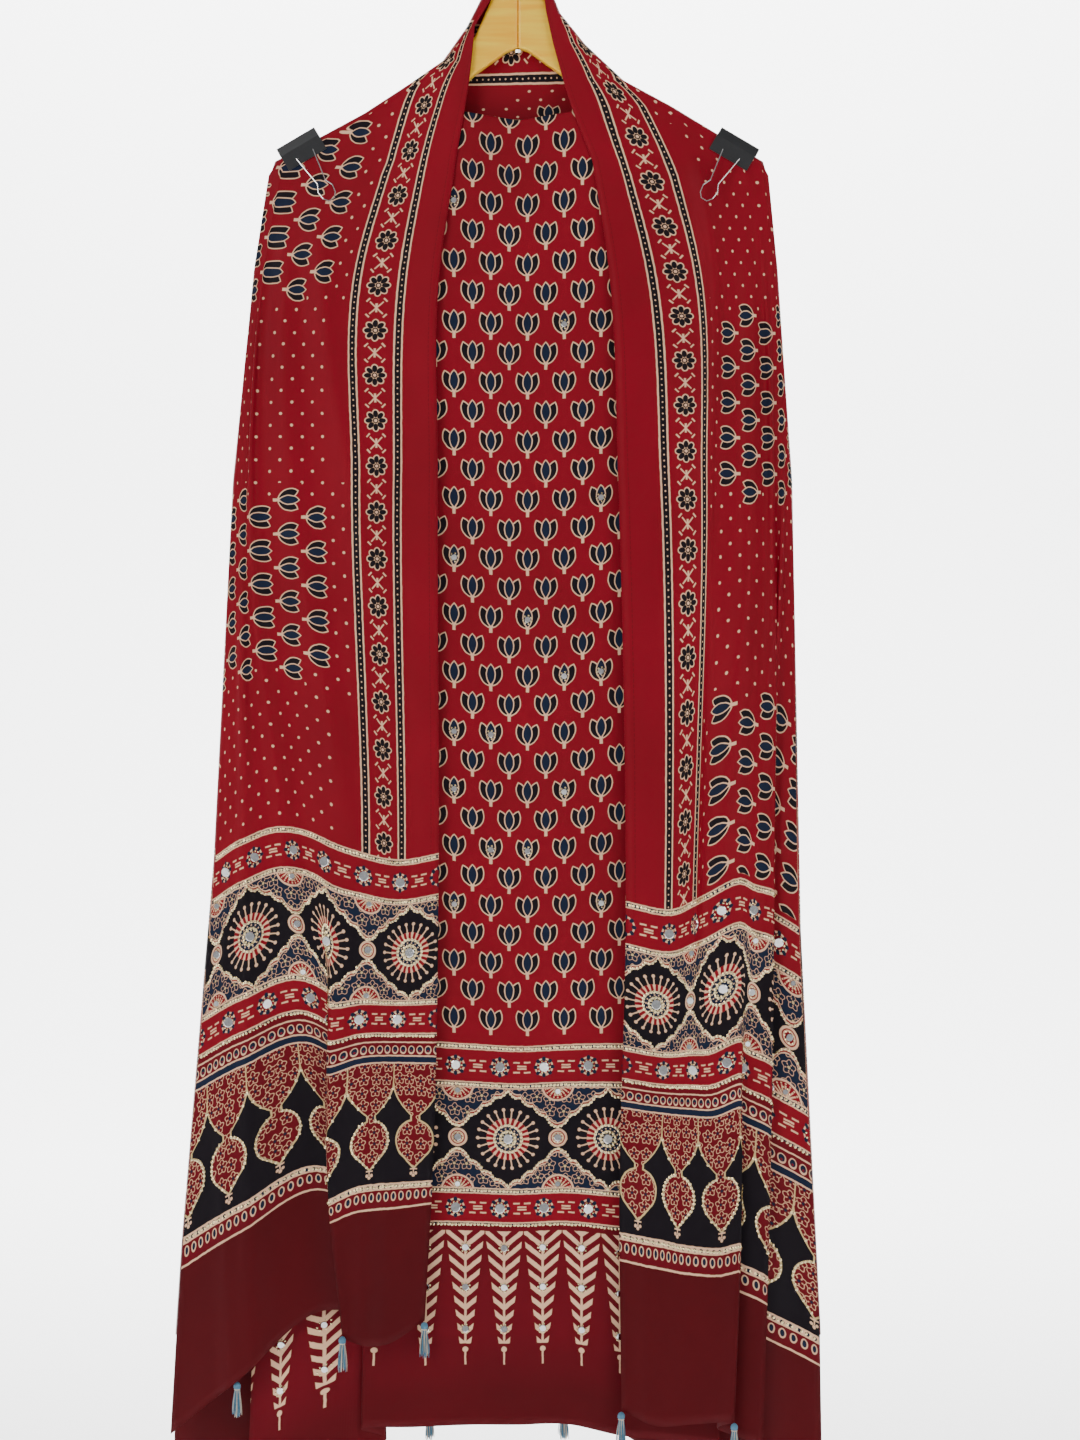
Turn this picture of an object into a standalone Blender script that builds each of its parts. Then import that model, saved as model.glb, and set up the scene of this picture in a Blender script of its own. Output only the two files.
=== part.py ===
"""Ajrakh dupatta and kameez length clipped to a wooden clothes hanger.

Metres, +Z up. The origin is where the hook hangs, +X is to the viewer's right
and -Y is the front. Cloth sizes: s runs in from the dupatta's inner long edge,
t runs up from its end, w runs across the kameez.
"""
import math

import bmesh
import bpy
import numpy as np

# Hanger
ARM_THICK = 0.012
ARM_JOINT_GAP = 0.0003
TIP_Z = -0.243
WIRE = 0.0016
HOOK_RADIUS = 0.0196
NECK_Z = -0.0665
APEX_Z = -0.135
NUT_DROP = 0.0030
NUT_RADIUS = 0.0032
NUT_HIGH = 0.0028
HOOK_START = -62
HOOK_TURN = 242
HOOK_STEPS = 18
ARM_ROUND = 0.0025
ARM_TOP = ((0.0, -0.0670), (0.0170, -0.0690), (0.0235, -0.0860), (0.0400, -0.1235), (0.0640, -0.1560),
           (0.0940, -0.1775), (0.1380, -0.2035), (0.1800, -0.2270), (0.2120, -0.2430), (0.2200, -0.2500))
ARM_LOW = ((0.2190, -0.2570), (0.2080, -0.2600), (0.1680, -0.2455), (0.1260, -0.2260), (0.0830, -0.2010),
           (0.0400, -0.1600), (0.0100, -0.1385), (0.0, APEX_Z))

# Cloth
CLOTH = 0.001
DUPATTA_WIDTH = 0.95
FRONT_LENGTH = 1.095
TIP_S = 0.19
FAN_START = math.radians(7.0)
FAN_END = math.radians(90.0)
FAN_RUNS = 6
RUN_SPREAD = 0.205
RUN_FIRST_Y = 0.004
RUN_STEP_Y = 0.0065
BACK_EXTRA_Y = 0.0065
FRONT_Y = -0.0109
BACK_Y = 0.0073
FACE_INSET = 0.004
TIP_CLEAR = 0.022
KAMEEZ_LENGTH = 1.23
KAMEEZ_FRONT_Y = -0.0091
KAMEEZ_REAR_Y = -0.0073
REAR_EASE = 0.0035
REAR_SHORT = 0.012
TURN_RISE = 0.0009

# Rows of the cloth grids
LOWER_ROWS = 13
BACK_COLUMNS = 11
KAMEEZ_ROWS = 14

# Clips
JAW_FRONT_Y = -0.0117
JAW_BACK_Y = 0.0081
CLIP_SHEET = 0.0008
CLIP_LONG = 0.041
CLIP_DEEP = 0.019
CLIP_X = 0.2070
CLIP_Z = -0.2255
HANDLE_OFF = 0.0021
HANDLE_RISE = 0.011
HANDLE_WIRE = 0.0006
CLIP_SLOPE = math.radians(-30.5)
# A handle's wire in order: place along the clip and distance down from its upper edge.
HANDLE = ((-0.009, 0.013), (-0.0065, 0.030), (-0.0042, 0.045), (-0.0076, 0.0525), (-0.0066, 0.060),
          (-0.003, 0.0645), (0.003, 0.0645), (0.0066, 0.060), (0.0076, 0.0525), (0.0042, 0.045),
          (0.0065, 0.030), (0.009, 0.013))
HANDLE_END = 0.0645

# Tassels
TASSEL_STRANDS = 8
TASSEL_HEAD = 0.0042
TASSEL_HEAD_HIGH = 0.008
TASSEL_LONG = 0.026
TASSEL_GAP = 0.0009

# The shoulder line of the dupatta, centre to tip: height, inner edge and outer edge of each front
SHOULDER = {
    "left": {
        "z": (-0.0760, -0.1157, -0.1478, -0.1694, -0.1977, -0.2430),
        "inner": (-0.0165, -0.0405, -0.0435, -0.0460, -0.0505, -0.0585),
        "outer": (-0.0280, -0.0481, -0.0708, -0.1019, -0.1453, -0.2290)},
    "right": {
        "z": (-0.0760, -0.1025, -0.1320, -0.1666, -0.1911, -0.2430),
        "inner": (0.0230, 0.0265, 0.0330, 0.0425, 0.0500, 0.0700),
        "outer": (0.0290, 0.0396, 0.0632, 0.1000, 0.1453, 0.2310)}}

# Depth below the tips at which the fold tables give each fold's place
LEVELS = (0.0, 0.10, 0.30, 0.644, 0.959, 1.095)

# One row for each fold line of a front: s is its place across the cloth, x its place at each of
# LEVELS, drop how far it hangs below its own length and y its depth in front of the hanger.
# All but s are in millimetres.
FOLDS = {
    "left": (
        {"s": 0.000, "x": (-58, -73, -75, -74, -80, -87),
         "drop": (0, 0, 0, 9, 0, -8), "y": (11, 16, 20, 24, 27, 28)},
        {"s": 0.040, "x": (-89, -107, -113, -109, -116, -121),
         "drop": (0, 0, 0, 15, 2, 13), "y": (11, 15, 18, 22, 30, 33)},
        {"s": 0.081, "x": (-121, -149, -152, -142, -151, -152),
         "drop": (0, 0, 0, 9, 5, 11), "y": (11, 16, 20, 27, 35, 38)},
        {"s": 0.110, "x": (-146, -172, -179, -170, -177, -163),
         "drop": (0, 0, 0, 0, 17, 3), "y": (11, 16, 19, 25, 37, 41)},
        {"s": 0.140, "x": (-176, -198, -207, -194, -153, -138),
         "drop": (0, 0, 0, -11, 3, -12), "y": (11, 14, 18, 20, 27, 29)},
        {"s": 0.170, "x": (-206, -224, -236, -215, -181, -176),
         "drop": (0, 0, 0, -16, -12, -17), "y": (11, 13, 17, 19, 20, 21)},
        {"s": 0.250, "x": (-222, -240, -256, -259, -259, -262),
         "drop": (0, 0, 0, -4, 22, 48), "y": (11, 13, 17, 22, 25, 28)},
        {"s": 0.320, "x": (-229, -246, -266, -284, -314, -326),
         "drop": (0, 0, 0, 12, 56, 101), "y": (9, 9, 11, 14, 15, 15)}),
    "right": (
        {"s": 0.000, "x": (70, 85, 94, 101, 95, 97),
         "drop": (0, 0, 0, 54, 49, 76), "y": (11, 16, 20, 24, 27, 28)},
        {"s": 0.040, "x": (99, 124, 138, 141, 129, 129),
         "drop": (0, 0, 0, 62, 55, 90), "y": (11, 15, 18, 22, 29, 31)},
        {"s": 0.081, "x": (143, 168, 175, 166, 160, 160),
         "drop": (0, 0, 0, 53, 61, 88), "y": (11, 16, 21, 19, 32, 34)},
        {"s": 0.110, "x": (169, 186, 188, 176, 187, 185),
         "drop": (0, 0, 0, 47, 63, 86), "y": (11, 17, 24, 27, 33, 36)},
        {"s": 0.140, "x": (195, 206, 212, 206, 208, 202),
         "drop": (0, 0, 0, 32, 58, 84), "y": (11, 15, 20, 29, 36, 40)},
        {"s": 0.165, "x": (212, 222, 229, 221, 197, 186),
         "drop": (0, 0, 0, 38, 70, 92), "y": (11, 13, 17, 22, 27, 28)},
        {"s": 0.210, "x": (222, 232, 241, 240, 234, 229),
         "drop": (0, 0, 0, 45, 92, 110), "y": (10, 12, 15, 24, 30, 33)},
        {"s": 0.240, "x": (227, 237, 246, 229, 214, 208),
         "drop": (0, 0, 0, 52, 104, 120), "y": (10, 11, 13, 16, 20, 21)},
        {"s": 0.320, "x": (231, 242, 256, 264, 283, 286),
         "drop": (0, 0, 0, 80, 150, 170), "y": (9, 9, 10, 13, 15, 15)})}

# One row for each fold line of the kameez: w is its place across the cloth, x its place at the top,
# halfway and at the hem, drop how far its hem hangs low, y its depth. All but w are in millimetres.
KAMEEZ_FOLDS = (
    {"w": -0.260, "x": (-214, -232, -255), "drop": (0, 20, 78), "y": (9.1, 10, 9)},
    {"w": -0.200, "x": (-180, -190, -190), "drop": (0, 12, 44), "y": (9.1, 11, 12)},
    {"w": -0.158, "x": (-152, -154, -124), "drop": (0, 4, 8), "y": (9.1, 10, 9)},
    {"w": -0.140, "x": (-132, -140, -146), "drop": (0, 0, 0), "y": (9.1, 11, 14)},
    {"w": -0.095, "x": (-95, -95, -97), "drop": (0, 0, -3), "y": (9.1, 12, 13)},
    {"w": -0.045, "x": (-45, -45, -45), "drop": (0, 5, -5), "y": (9.1, 10, 12)},
    {"w": 0.000, "x": (0, 0, 0), "drop": (0, 8, -5), "y": (9.1, 11, 13)},
    {"w": 0.045, "x": (45, 45, 45), "drop": (0, 6, -6), "y": (9.1, 12, 14)},
    {"w": 0.095, "x": (95, 95, 95), "drop": (0, 0, 5), "y": (9.1, 10, 12)},
    {"w": 0.150, "x": (150, 148, 142), "drop": (0, 0, 10), "y": (9.1, 11, 12)},
    {"w": 0.215, "x": (214, 205, 190), "drop": (0, 5, 16), "y": (9.1, 10, 10)})
KAMEEZ_TOP = {"x": (0.0, 0.053, 0.100, 0.145, 0.190, 0.216),
              "z": (-0.2055, -0.1965, -0.1945, -0.2040, -0.2290, -0.2430)}

COLOURS = {
    "wood": (0.62, 0.36, 0.14, 0.5, 0.0),
    "steel": (0.70, 0.70, 0.68, 0.25, 1.0),
    "black": (0.012, 0.012, 0.013, 0.4, 0.0),
    "red": (0.30, 0.009, 0.020, 0.6, 0.0),
    "blue": (0.05, 0.16, 0.26, 0.8, 0.0)}


def clear_scene():
    for item in list(bpy.data.objects):
        bpy.data.objects.remove(item, do_unlink=True)


def make_material(name, colour):
    red, green, blue, rough, metal = COLOURS[colour]
    material = bpy.data.materials.new(name)
    material.use_nodes = True
    shader = material.node_tree.nodes["Principled BSDF"]
    shader.inputs["Base Color"].default_value = (red, green, blue, 1.0)
    shader.inputs["Roughness"].default_value = rough
    shader.inputs["Metallic"].default_value = metal
    return material


def add_object(name, shape, colour, smooth=True):
    """Turn a bmesh into an object with outward faces and its own material."""
    bmesh.ops.recalc_face_normals(shape, faces=shape.faces[:])
    mesh = bpy.data.meshes.new(name)
    shape.to_mesh(mesh)
    shape.free()
    if smooth:
        mesh.shade_smooth()
        mesh.set_sharp_from_angle(angle=math.radians(50))
    mesh.materials.append(make_material(name, colour))
    item = bpy.data.objects.new(name, mesh)
    bpy.context.collection.objects.link(item)
    return item


def sheet_shape(middle, thick):
    """Give a grid of points a thickness, as one closed body."""
    down = np.gradient(middle, axis=0)
    across = np.gradient(middle, axis=1)
    normal = np.cross(across, down)
    normal /= np.linalg.norm(normal, axis=2, keepdims=True)
    shape = bmesh.new()
    rows, columns = middle.shape[:2]
    layers = []
    for side in (0.5, -0.5):
        points = middle + normal * thick * side
        layers.append([[shape.verts.new(points[i, j]) for j in range(columns)] for i in range(rows)])
    front, back = layers
    for i in range(rows - 1):
        for j in range(columns - 1):
            shape.faces.new((front[i][j], front[i][j + 1], front[i + 1][j + 1], front[i + 1][j]))
            shape.faces.new((back[i][j], back[i + 1][j], back[i + 1][j + 1], back[i][j + 1]))
    rim = [(0, j) for j in range(columns)] + [(i, columns - 1) for i in range(1, rows)]
    rim += [(rows - 1, j) for j in range(columns - 2, -1, -1)] + [(i, 0) for i in range(rows - 2, 0, -1)]
    for k, (i, j) in enumerate(rim):
        m, n = rim[(k + 1) % len(rim)]
        shape.faces.new((front[i][j], back[i][j], back[m][n], front[m][n]))
    return shape


def smooth_step(value, low, high):
    part = min(max((value - low) / (high - low), 0.0), 1.0)
    return part * part * (3.0 - 2.0 * part)


def eased(value, stops, values):
    """Read a table along a smooth curve through its stops."""
    stops = np.asarray(stops, float)
    values = np.asarray(values, float)
    slopes = np.gradient(values, stops)
    value = min(max(value, stops[0]), stops[-1])
    k = int(min(np.searchsorted(stops, value, side="right") - 1, len(stops) - 2))
    span = stops[k + 1] - stops[k]
    p = (value - stops[k]) / span
    start = values[k] * (1 + 2 * p) * (1 - p) ** 2 + slopes[k] * span * p * (1 - p) ** 2
    end = values[k + 1] * p * p * (3 - 2 * p) + slopes[k + 1] * span * p * p * (p - 1)
    return start + end


def front_point(side, fold, depth):
    """Place of a fold line of a front at a depth below the tips, measured along the cloth."""
    row = FOLDS[side][fold]
    x = eased(depth, LEVELS, row["x"]) / 1000
    y = -eased(depth, LEVELS, row["y"]) / 1000
    drop = eased(depth, LEVELS, row["drop"]) / 1000
    return x, y, TIP_Z - depth - drop


def outer_edge(side, z):
    """How far out the dupatta reaches at a height below the tips."""
    depths = [level + drop / 1000 for level, drop in zip(LEVELS, FOLDS[side][-1]["drop"])]
    return abs(np.interp(TIP_Z - z, depths, FOLDS[side][-1]["x"])) / 1000


def run_y(layer, depth):
    """Depth of one of the layers stacked behind a front: 0 is the front, the last is the back panel."""
    ring = FRONT_Y + (BACK_Y - FRONT_Y) * layer / (FAN_RUNS + 1)
    hung = RUN_FIRST_Y + RUN_STEP_Y * (layer - 1)
    return ring + (hung - ring) * smooth_step(depth, 0.0, 0.18)


def fan_columns():
    """The columns of the folds behind a front: angle, layers on both sides, and inner or outer edge."""
    columns = []
    step = (FAN_END - FAN_START) / FAN_RUNS
    for k in range(FAN_RUNS + 1):
        angle = FAN_START + step * k
        inward = k % 2 == 1
        if k > 0:
            columns.append({"angle": angle, "layer": k, "inward": inward, "bulge": 0.0})
        columns.append({"angle": angle, "layer": k + 0.5, "inward": inward, "bulge": 0.003})
        if k < FAN_RUNS:
            columns.append({"angle": angle, "layer": k + 1, "inward": inward, "bulge": 0.0})
    return columns


def fan_point(side, column, depth):
    sign = -1 if side == "left" else 1
    z = TIP_Z - depth
    out = outer_edge(side, z) - 0.0015 * column["layer"] * smooth_step(depth, 0.0, 0.1)
    x = out + column["bulge"]
    if column["inward"]:
        bulge = column["bulge"] * smooth_step(depth, TIP_CLEAR, 0.08)
        x = out - RUN_SPREAD * max(depth - TIP_CLEAR, 0.0) - bulge
    low, high = math.floor(column["layer"]), math.ceil(column["layer"])
    if column["layer"] < 1:
        y = (-eased(depth, LEVELS, FOLDS[side][-1]["y"]) / 1000 + run_y(1, depth)) / 2
    else:
        y = (run_y(low, depth) + run_y(high, depth)) / 2
    return sign * x, y, z


def fan_length(angle):
    """How far the cloth reaches from the tip in a direction, down to its end or its outer edge."""
    to_end = FRONT_LENGTH / math.cos(angle) if math.cos(angle) > 1e-6 else 9.0
    to_side = (DUPATTA_WIDTH - TIP_S) / math.sin(angle)
    return min(to_end, to_side)


def back_y(x, depth):
    hung = run_y(FAN_RUNS + 1, depth) + BACK_EXTRA_Y * smooth_step(depth, 0.0, 0.3)
    wave = 0.006 * math.sin(x * 42.0 + 0.6) + 0.004 * math.sin(x * 71.0)
    return hung + abs(wave) * smooth_step(depth, 0.05, 0.6)


def shoulder_columns(side, z):
    """One upper row of a half: its front, the turn over the arm, in order outward."""
    table = SHOULDER[side]
    sign = -1 if side == "left" else 1
    inner = np.interp(-z, -np.array(table["z"]), table["inner"])
    outer = np.interp(-z, -np.array(table["z"]), table["outer"]) - sign * FACE_INSET
    tip_inner = FOLDS[side][0]["x"][0]
    tip_outer = FOLDS[side][-1]["x"][0]
    points = []
    for row in FOLDS[side]:
        share = (row["x"][0] - tip_inner) / (tip_outer - tip_inner)
        points.append((inner + (outer - inner) * share, FRONT_Y, z))
    columns = fan_columns()
    for k in range(len(columns)):
        turn = math.pi * (k + 1) / (len(columns) + 1)
        y = (FRONT_Y + BACK_Y) / 2 - (BACK_Y - FRONT_Y) / 2 * math.cos(turn)
        points.append((outer + sign * FACE_INSET * math.sin(turn), y, z))
    return points


def hanging_columns(side, share):
    """One lower row of a half, at a share of each column's own length."""
    points = [front_point(side, fold, share * FRONT_LENGTH) for fold in range(len(FOLDS[side]))]
    for column in fan_columns():
        points.append(fan_point(side, column, share * fan_length(column["angle"])))
    return points


def dupatta_row(upper, place):
    """A whole row: up the left front, across the back, and out to the right front's inner edge."""
    halves = {}
    for side in ("left", "right"):
        if upper:
            halves[side] = shoulder_columns(side, SHOULDER[side]["z"][place])
        else:
            halves[side] = hanging_columns(side, place)
    start, end = halves["left"][-1], halves["right"][-1]
    row = list(halves["left"])
    for k in range(1, BACK_COLUMNS + 1):
        p = k / (BACK_COLUMNS + 1)
        x = start[0] + (end[0] - start[0]) * p
        z = start[2] + (end[2] - start[2]) * p
        y = BACK_Y if upper else back_y(x, TIP_Z - z)
        row.append((x, y, z))
    row.extend(reversed(halves["right"]))
    return row


def make_dupatta():
    rows = [dupatta_row(True, k) for k in range(len(SHOULDER["left"]["z"]))]
    rows += [dupatta_row(False, 0.012 + 0.988 * k / LOWER_ROWS) for k in range(LOWER_ROWS + 1)]
    return add_object("dupatta", sheet_shape(np.array(rows), CLOTH), "red")


def kameez_height(x, share, length):
    """Height of a kameez row: its top line levels out within the first fifth of the way down."""
    top = float(np.interp(abs(x), KAMEEZ_TOP["x"], KAMEEZ_TOP["z"]))
    level = KAMEEZ_TOP["z"][0]
    return level + (top - level) * (1 - smooth_step(share, 0.0, 0.2)) - share * length


def kameez_point(fold, share, rear):
    """A point of the kameez: share runs from its top fold, 0, to its hem, 1."""
    row = KAMEEZ_FOLDS[fold]
    if rear:
        edges = (KAMEEZ_FOLDS[0]["x"][0], KAMEEZ_FOLDS[-1]["x"][0])
        x = float(np.interp(fold, (0, len(KAMEEZ_FOLDS) - 1), edges)) / 1000
        y = KAMEEZ_REAR_Y + REAR_EASE * smooth_step(share, 0.05, 0.4)
        return x, y, kameez_height(x, share, KAMEEZ_LENGTH - REAR_SHORT)
    stops = (0.0, 0.5, 1.0)
    x = eased(share, stops, row["x"]) / 1000
    y = -eased(share, stops, row["y"]) / 1000
    return x, y, kameez_height(x, share, KAMEEZ_LENGTH) - eased(share, stops, row["drop"]) / 1000


def make_kameez():
    folds = range(len(KAMEEZ_FOLDS))
    shares = [k / KAMEEZ_ROWS for k in range(KAMEEZ_ROWS + 1)]
    rows = [[kameez_point(fold, share, False) for fold in folds] for share in reversed(shares)]
    turn = []
    for point in rows[-1]:
        turn.append((point[0], (KAMEEZ_FRONT_Y + KAMEEZ_REAR_Y) / 2, point[2] + TURN_RISE))
    rows.append(turn)
    rows += [[kameez_point(fold, share, True) for fold in folds] for share in shares]
    return add_object("kameez", sheet_shape(np.array(rows), CLOTH), "red")


def board(name, outline, centre_y, thick, colour, bevel):
    """A flat board with an outline in x and z, its edges rounded."""
    shape = bmesh.new()
    verts = [shape.verts.new((x, centre_y - thick / 2, z)) for x, z in outline]
    face = shape.faces.new(verts)
    result = bmesh.ops.extrude_face_region(shape, geom=[face])
    moved = [g for g in result["geom"] if isinstance(g, bmesh.types.BMVert)]
    bmesh.ops.translate(shape, verts=moved, vec=(0, thick, 0))
    edges = [e for e in shape.edges if abs(e.verts[0].co.y - e.verts[1].co.y) < 1e-6]
    bmesh.ops.bevel(shape, geom=edges, offset=bevel, segments=2, profile=0.5, affect="EDGES")
    return add_object(name, shape, colour)


def make_arms():
    for name, sign in (("hanger_arm_left", -1), ("hanger_arm_right", 1)):
        outline = [(sign * (x + ARM_JOINT_GAP / 2), z) for x, z in ARM_TOP + ARM_LOW]
        board(name, outline, 0.0, ARM_THICK, "wood", ARM_ROUND)


def wire_object(name, points, radius, colour, sides=2):
    """A bent round wire through the given points, with closed ends."""
    curve = bpy.data.curves.new(name, "CURVE")
    curve.dimensions = "3D"
    curve.bevel_depth = radius
    curve.bevel_resolution = sides
    curve.use_fill_caps = True
    line = curve.splines.new("POLY")
    line.points.add(len(points) - 1)
    for spot, point in zip(line.points, points):
        spot.co = (*point, 1.0)
    curve.materials.append(make_material(name, colour))
    item = bpy.data.objects.new(name, curve)
    bpy.context.collection.objects.link(item)
    return item


def make_hook():
    centre = -HOOK_RADIUS + WIRE
    points = [(0.0, 0.0, NECK_Z - 0.0001), (0.0, 0.0, -0.0560), (0.0015, 0.0, -0.0480)]
    for k in range(HOOK_STEPS + 1):
        turn = math.radians(HOOK_START + HOOK_TURN * k / HOOK_STEPS)
        points.append((HOOK_RADIUS * math.cos(turn), 0.0, centre + HOOK_RADIUS * math.sin(turn)))
    wire_object("hook", points, WIRE, "steel")
    shape = bmesh.new()
    size = {"radius1": NUT_RADIUS, "radius2": NUT_RADIUS, "depth": NUT_HIGH}
    bmesh.ops.create_cone(shape, cap_ends=True, segments=8, **size)
    bmesh.ops.translate(shape, verts=shape.verts[:], vec=(0, 0, APEX_Z - NUT_DROP))
    add_object("hook_nut", shape, "steel", smooth=False)


def clip_frame(sign):
    """Centre of a clip's upper edge, its direction along the arm and the way down."""
    along = (sign * math.cos(CLIP_SLOPE), math.sin(CLIP_SLOPE))
    down = (sign * math.sin(CLIP_SLOPE), -math.cos(CLIP_SLOPE))
    return (sign * CLIP_X, CLIP_Z), along, down


def make_clip(side, sign):
    """A folded sheet steel body over the cloth, and a wire handle lying on each face."""
    (cx, cz), along, down = clip_frame(sign)
    profile = [(JAW_FRONT_Y, CLIP_DEEP), (JAW_FRONT_Y - 0.0009, 0.004), (-0.0095, -0.0045)]
    profile += [(0.0059, -0.0045), (JAW_BACK_Y + 0.0009, 0.004), (JAW_BACK_Y, CLIP_DEEP)]
    grid = []
    for y, fall in profile:
        row = []
        for k in range(3):
            place = (k / 2 - 0.5) * CLIP_LONG
            row.append((cx + along[0] * place + down[0] * fall, y,
                        cz + along[1] * place + down[1] * fall))
        grid.append(row)
    middle = np.array(grid)
    centre = middle.mean(axis=(0, 1))
    middle[:, :, 1] += np.where(middle[:, :, 1] < centre[1], -CLIP_SHEET / 2, CLIP_SHEET / 2)
    add_object("clip_%s_body" % side, sheet_shape(middle, CLIP_SHEET), "black", smooth=False)
    for part, y, away in (("front", JAW_FRONT_Y - HANDLE_OFF, -1), ("back", JAW_BACK_Y + HANDLE_OFF, 1)):
        points = []
        for place, fall in HANDLE:
            rise = HANDLE_RISE * smooth_step(fall, HANDLE[0][1], HANDLE_END) * away
            points.append((cx + along[0] * place + down[0] * fall, y + rise,
                           cz + along[1] * place + down[1] * fall))
        wire_object("clip_%s_handle_%s" % (side, part), points, HANDLE_WIRE, "steel", sides=1)


def make_tassel(name, place):
    """A small head whose lower face is drawn out into strands, as one body."""
    shape = bmesh.new()
    x, y, z = place
    head = []
    for radius, fall in ((0.0009, 0.0), (TASSEL_HEAD * 0.85, 0.003), (TASSEL_HEAD * 0.8, TASSEL_HEAD_HIGH)):
        ring = []
        for k in range(TASSEL_STRANDS):
            turn = 2 * math.pi * k / TASSEL_STRANDS
            spot = (x + radius * math.cos(turn), y + radius * math.sin(turn), z - fall)
            ring.append(shape.verts.new(spot))
        head.append(ring)
    shape.faces.new(head[0])
    for upper, lower in zip(head, head[1:]):
        for k in range(TASSEL_STRANDS):
            n = (k + 1) % TASSEL_STRANDS
            shape.faces.new((upper[k], upper[n], lower[n], lower[k]))
    root = shape.verts.new((x, y, z - TASSEL_HEAD_HIGH))
    sectors = []
    for k in range(TASSEL_STRANDS):
        sectors.append(shape.faces.new((head[-1][k], head[-1][(k + 1) % TASSEL_STRANDS], root)))
    bmesh.ops.inset_individual(shape, faces=sectors, thickness=0.0002)
    for k, face in enumerate(sectors):
        centre = face.calc_center_median()
        moved = bmesh.ops.extrude_discrete_faces(shape, faces=[face])["faces"][0]
        flare = 1.0 + 0.9 * (0.6 + 0.4 * math.sin(k * 2.4))
        for vert in moved.verts:
            offset = vert.co - centre
            vert.co.x = x + (centre.x - x) * flare + offset.x * 1.3
            vert.co.y = y + (centre.y - y) * flare + offset.y * 1.3
            vert.co.z = z - TASSEL_HEAD_HIGH - TASSEL_LONG * (0.92 + 0.08 * math.cos(k * 1.7))
    return add_object(name, shape, "blue", smooth=False)


def tassel_places():
    """Five places along each end of the dupatta: three under the front, two at fold edges behind."""
    places = []
    columns = fan_columns()
    for side in ("left", "right"):
        last = len(FOLDS[side]) - 1
        fronts = (0, 3, last - 1) if side == "left" else (0, 4, last - 2)
        for fold in fronts:
            x, y, z = front_point(side, fold, FRONT_LENGTH)
            places.append((x, y - 0.001, z - TASSEL_GAP))
        for number in (3, 6):
            column = columns[number]
            x, y, z = fan_point(side, column, fan_length(column["angle"]))
            places.append((x, y, z - TASSEL_GAP))
    return places


def main():
    clear_scene()
    make_arms()
    make_hook()
    make_kameez()
    make_dupatta()
    for side, sign in (("left", -1), ("right", 1)):
        make_clip(side, sign)
    for number, place in enumerate(tassel_places(), 1):
        make_tassel("tassel_%02d" % number, place)


main()
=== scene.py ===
# %% [markdown]
# An ajrakh set hangs on a wooden hanger: a long printed shawl over the arms, a folded dress length
# inside it, two spring clips and small tassels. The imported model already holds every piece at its
# real place, so this lesson loads it as a frame and dresses it. All sizes are in metres.

# %% Load the frame
import math
import random

import bmesh
import bpy
import numpy as np
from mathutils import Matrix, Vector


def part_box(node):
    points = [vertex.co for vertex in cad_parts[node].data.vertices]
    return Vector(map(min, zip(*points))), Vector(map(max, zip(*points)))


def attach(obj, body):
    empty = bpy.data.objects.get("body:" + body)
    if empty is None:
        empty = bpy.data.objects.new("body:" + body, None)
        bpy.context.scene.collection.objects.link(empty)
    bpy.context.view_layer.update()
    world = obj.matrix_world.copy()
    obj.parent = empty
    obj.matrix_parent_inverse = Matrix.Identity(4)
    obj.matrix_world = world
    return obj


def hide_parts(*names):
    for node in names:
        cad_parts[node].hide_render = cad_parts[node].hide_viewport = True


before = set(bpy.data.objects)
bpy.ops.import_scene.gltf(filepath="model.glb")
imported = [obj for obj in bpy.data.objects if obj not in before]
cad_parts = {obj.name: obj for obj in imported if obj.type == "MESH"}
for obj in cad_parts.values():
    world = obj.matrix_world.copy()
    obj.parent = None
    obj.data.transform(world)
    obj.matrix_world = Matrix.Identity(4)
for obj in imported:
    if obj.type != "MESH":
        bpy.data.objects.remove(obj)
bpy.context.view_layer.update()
print("nodes", len(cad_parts))


# %% [markdown]
# A camera at the photograph's angle looks straight on from about three metres, at mid-height of the
# cloth. It could be fitted by eye, but the scale of 1060 pixels to the metre gives it directly: the
# frame is 1440 pixels high, so it spans that many thousandths of a metre over 1.06.

# %% Camera
PIXELS_PER_M = 1060.0
CENTRE_PX = (518.0, -94.6)
IMAGE_PX = (1080.0, 1440.0)
CAMERA_AWAY = 3.2


def from_photo(px, py):
    """X and Z of a point of the photograph on the hanger's plane."""
    return (px - CENTRE_PX[0]) / PIXELS_PER_M, (CENTRE_PX[1] - py) / PIXELS_PER_M


def make_camera():
    x, z = from_photo(IMAGE_PX[0] / 2, IMAGE_PX[1] / 2)
    data = bpy.data.cameras.new("camera")
    data.sensor_width = 36.0
    data.sensor_fit = "AUTO"
    data.lens = 36.0 * CAMERA_AWAY / (IMAGE_PX[1] / PIXELS_PER_M)
    camera = bpy.data.objects.new("camera", data)
    camera.location = (x, -CAMERA_AWAY, z)
    camera.rotation_euler = (math.radians(90), 0, 0)
    bpy.context.collection.objects.link(camera)
    bpy.context.scene.camera = camera
    print("camera lens", round(data.lens, 1))


make_camera()

# %% [markdown]
# Cloth can be simulated, but these two cloths are posed: each fold in the photograph has its own
# place. So each cloth is a fine grid read from a short table of fold lines, the same table that the
# solids were made from, and it also carries its own flat coordinates, which the print follows.

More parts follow.
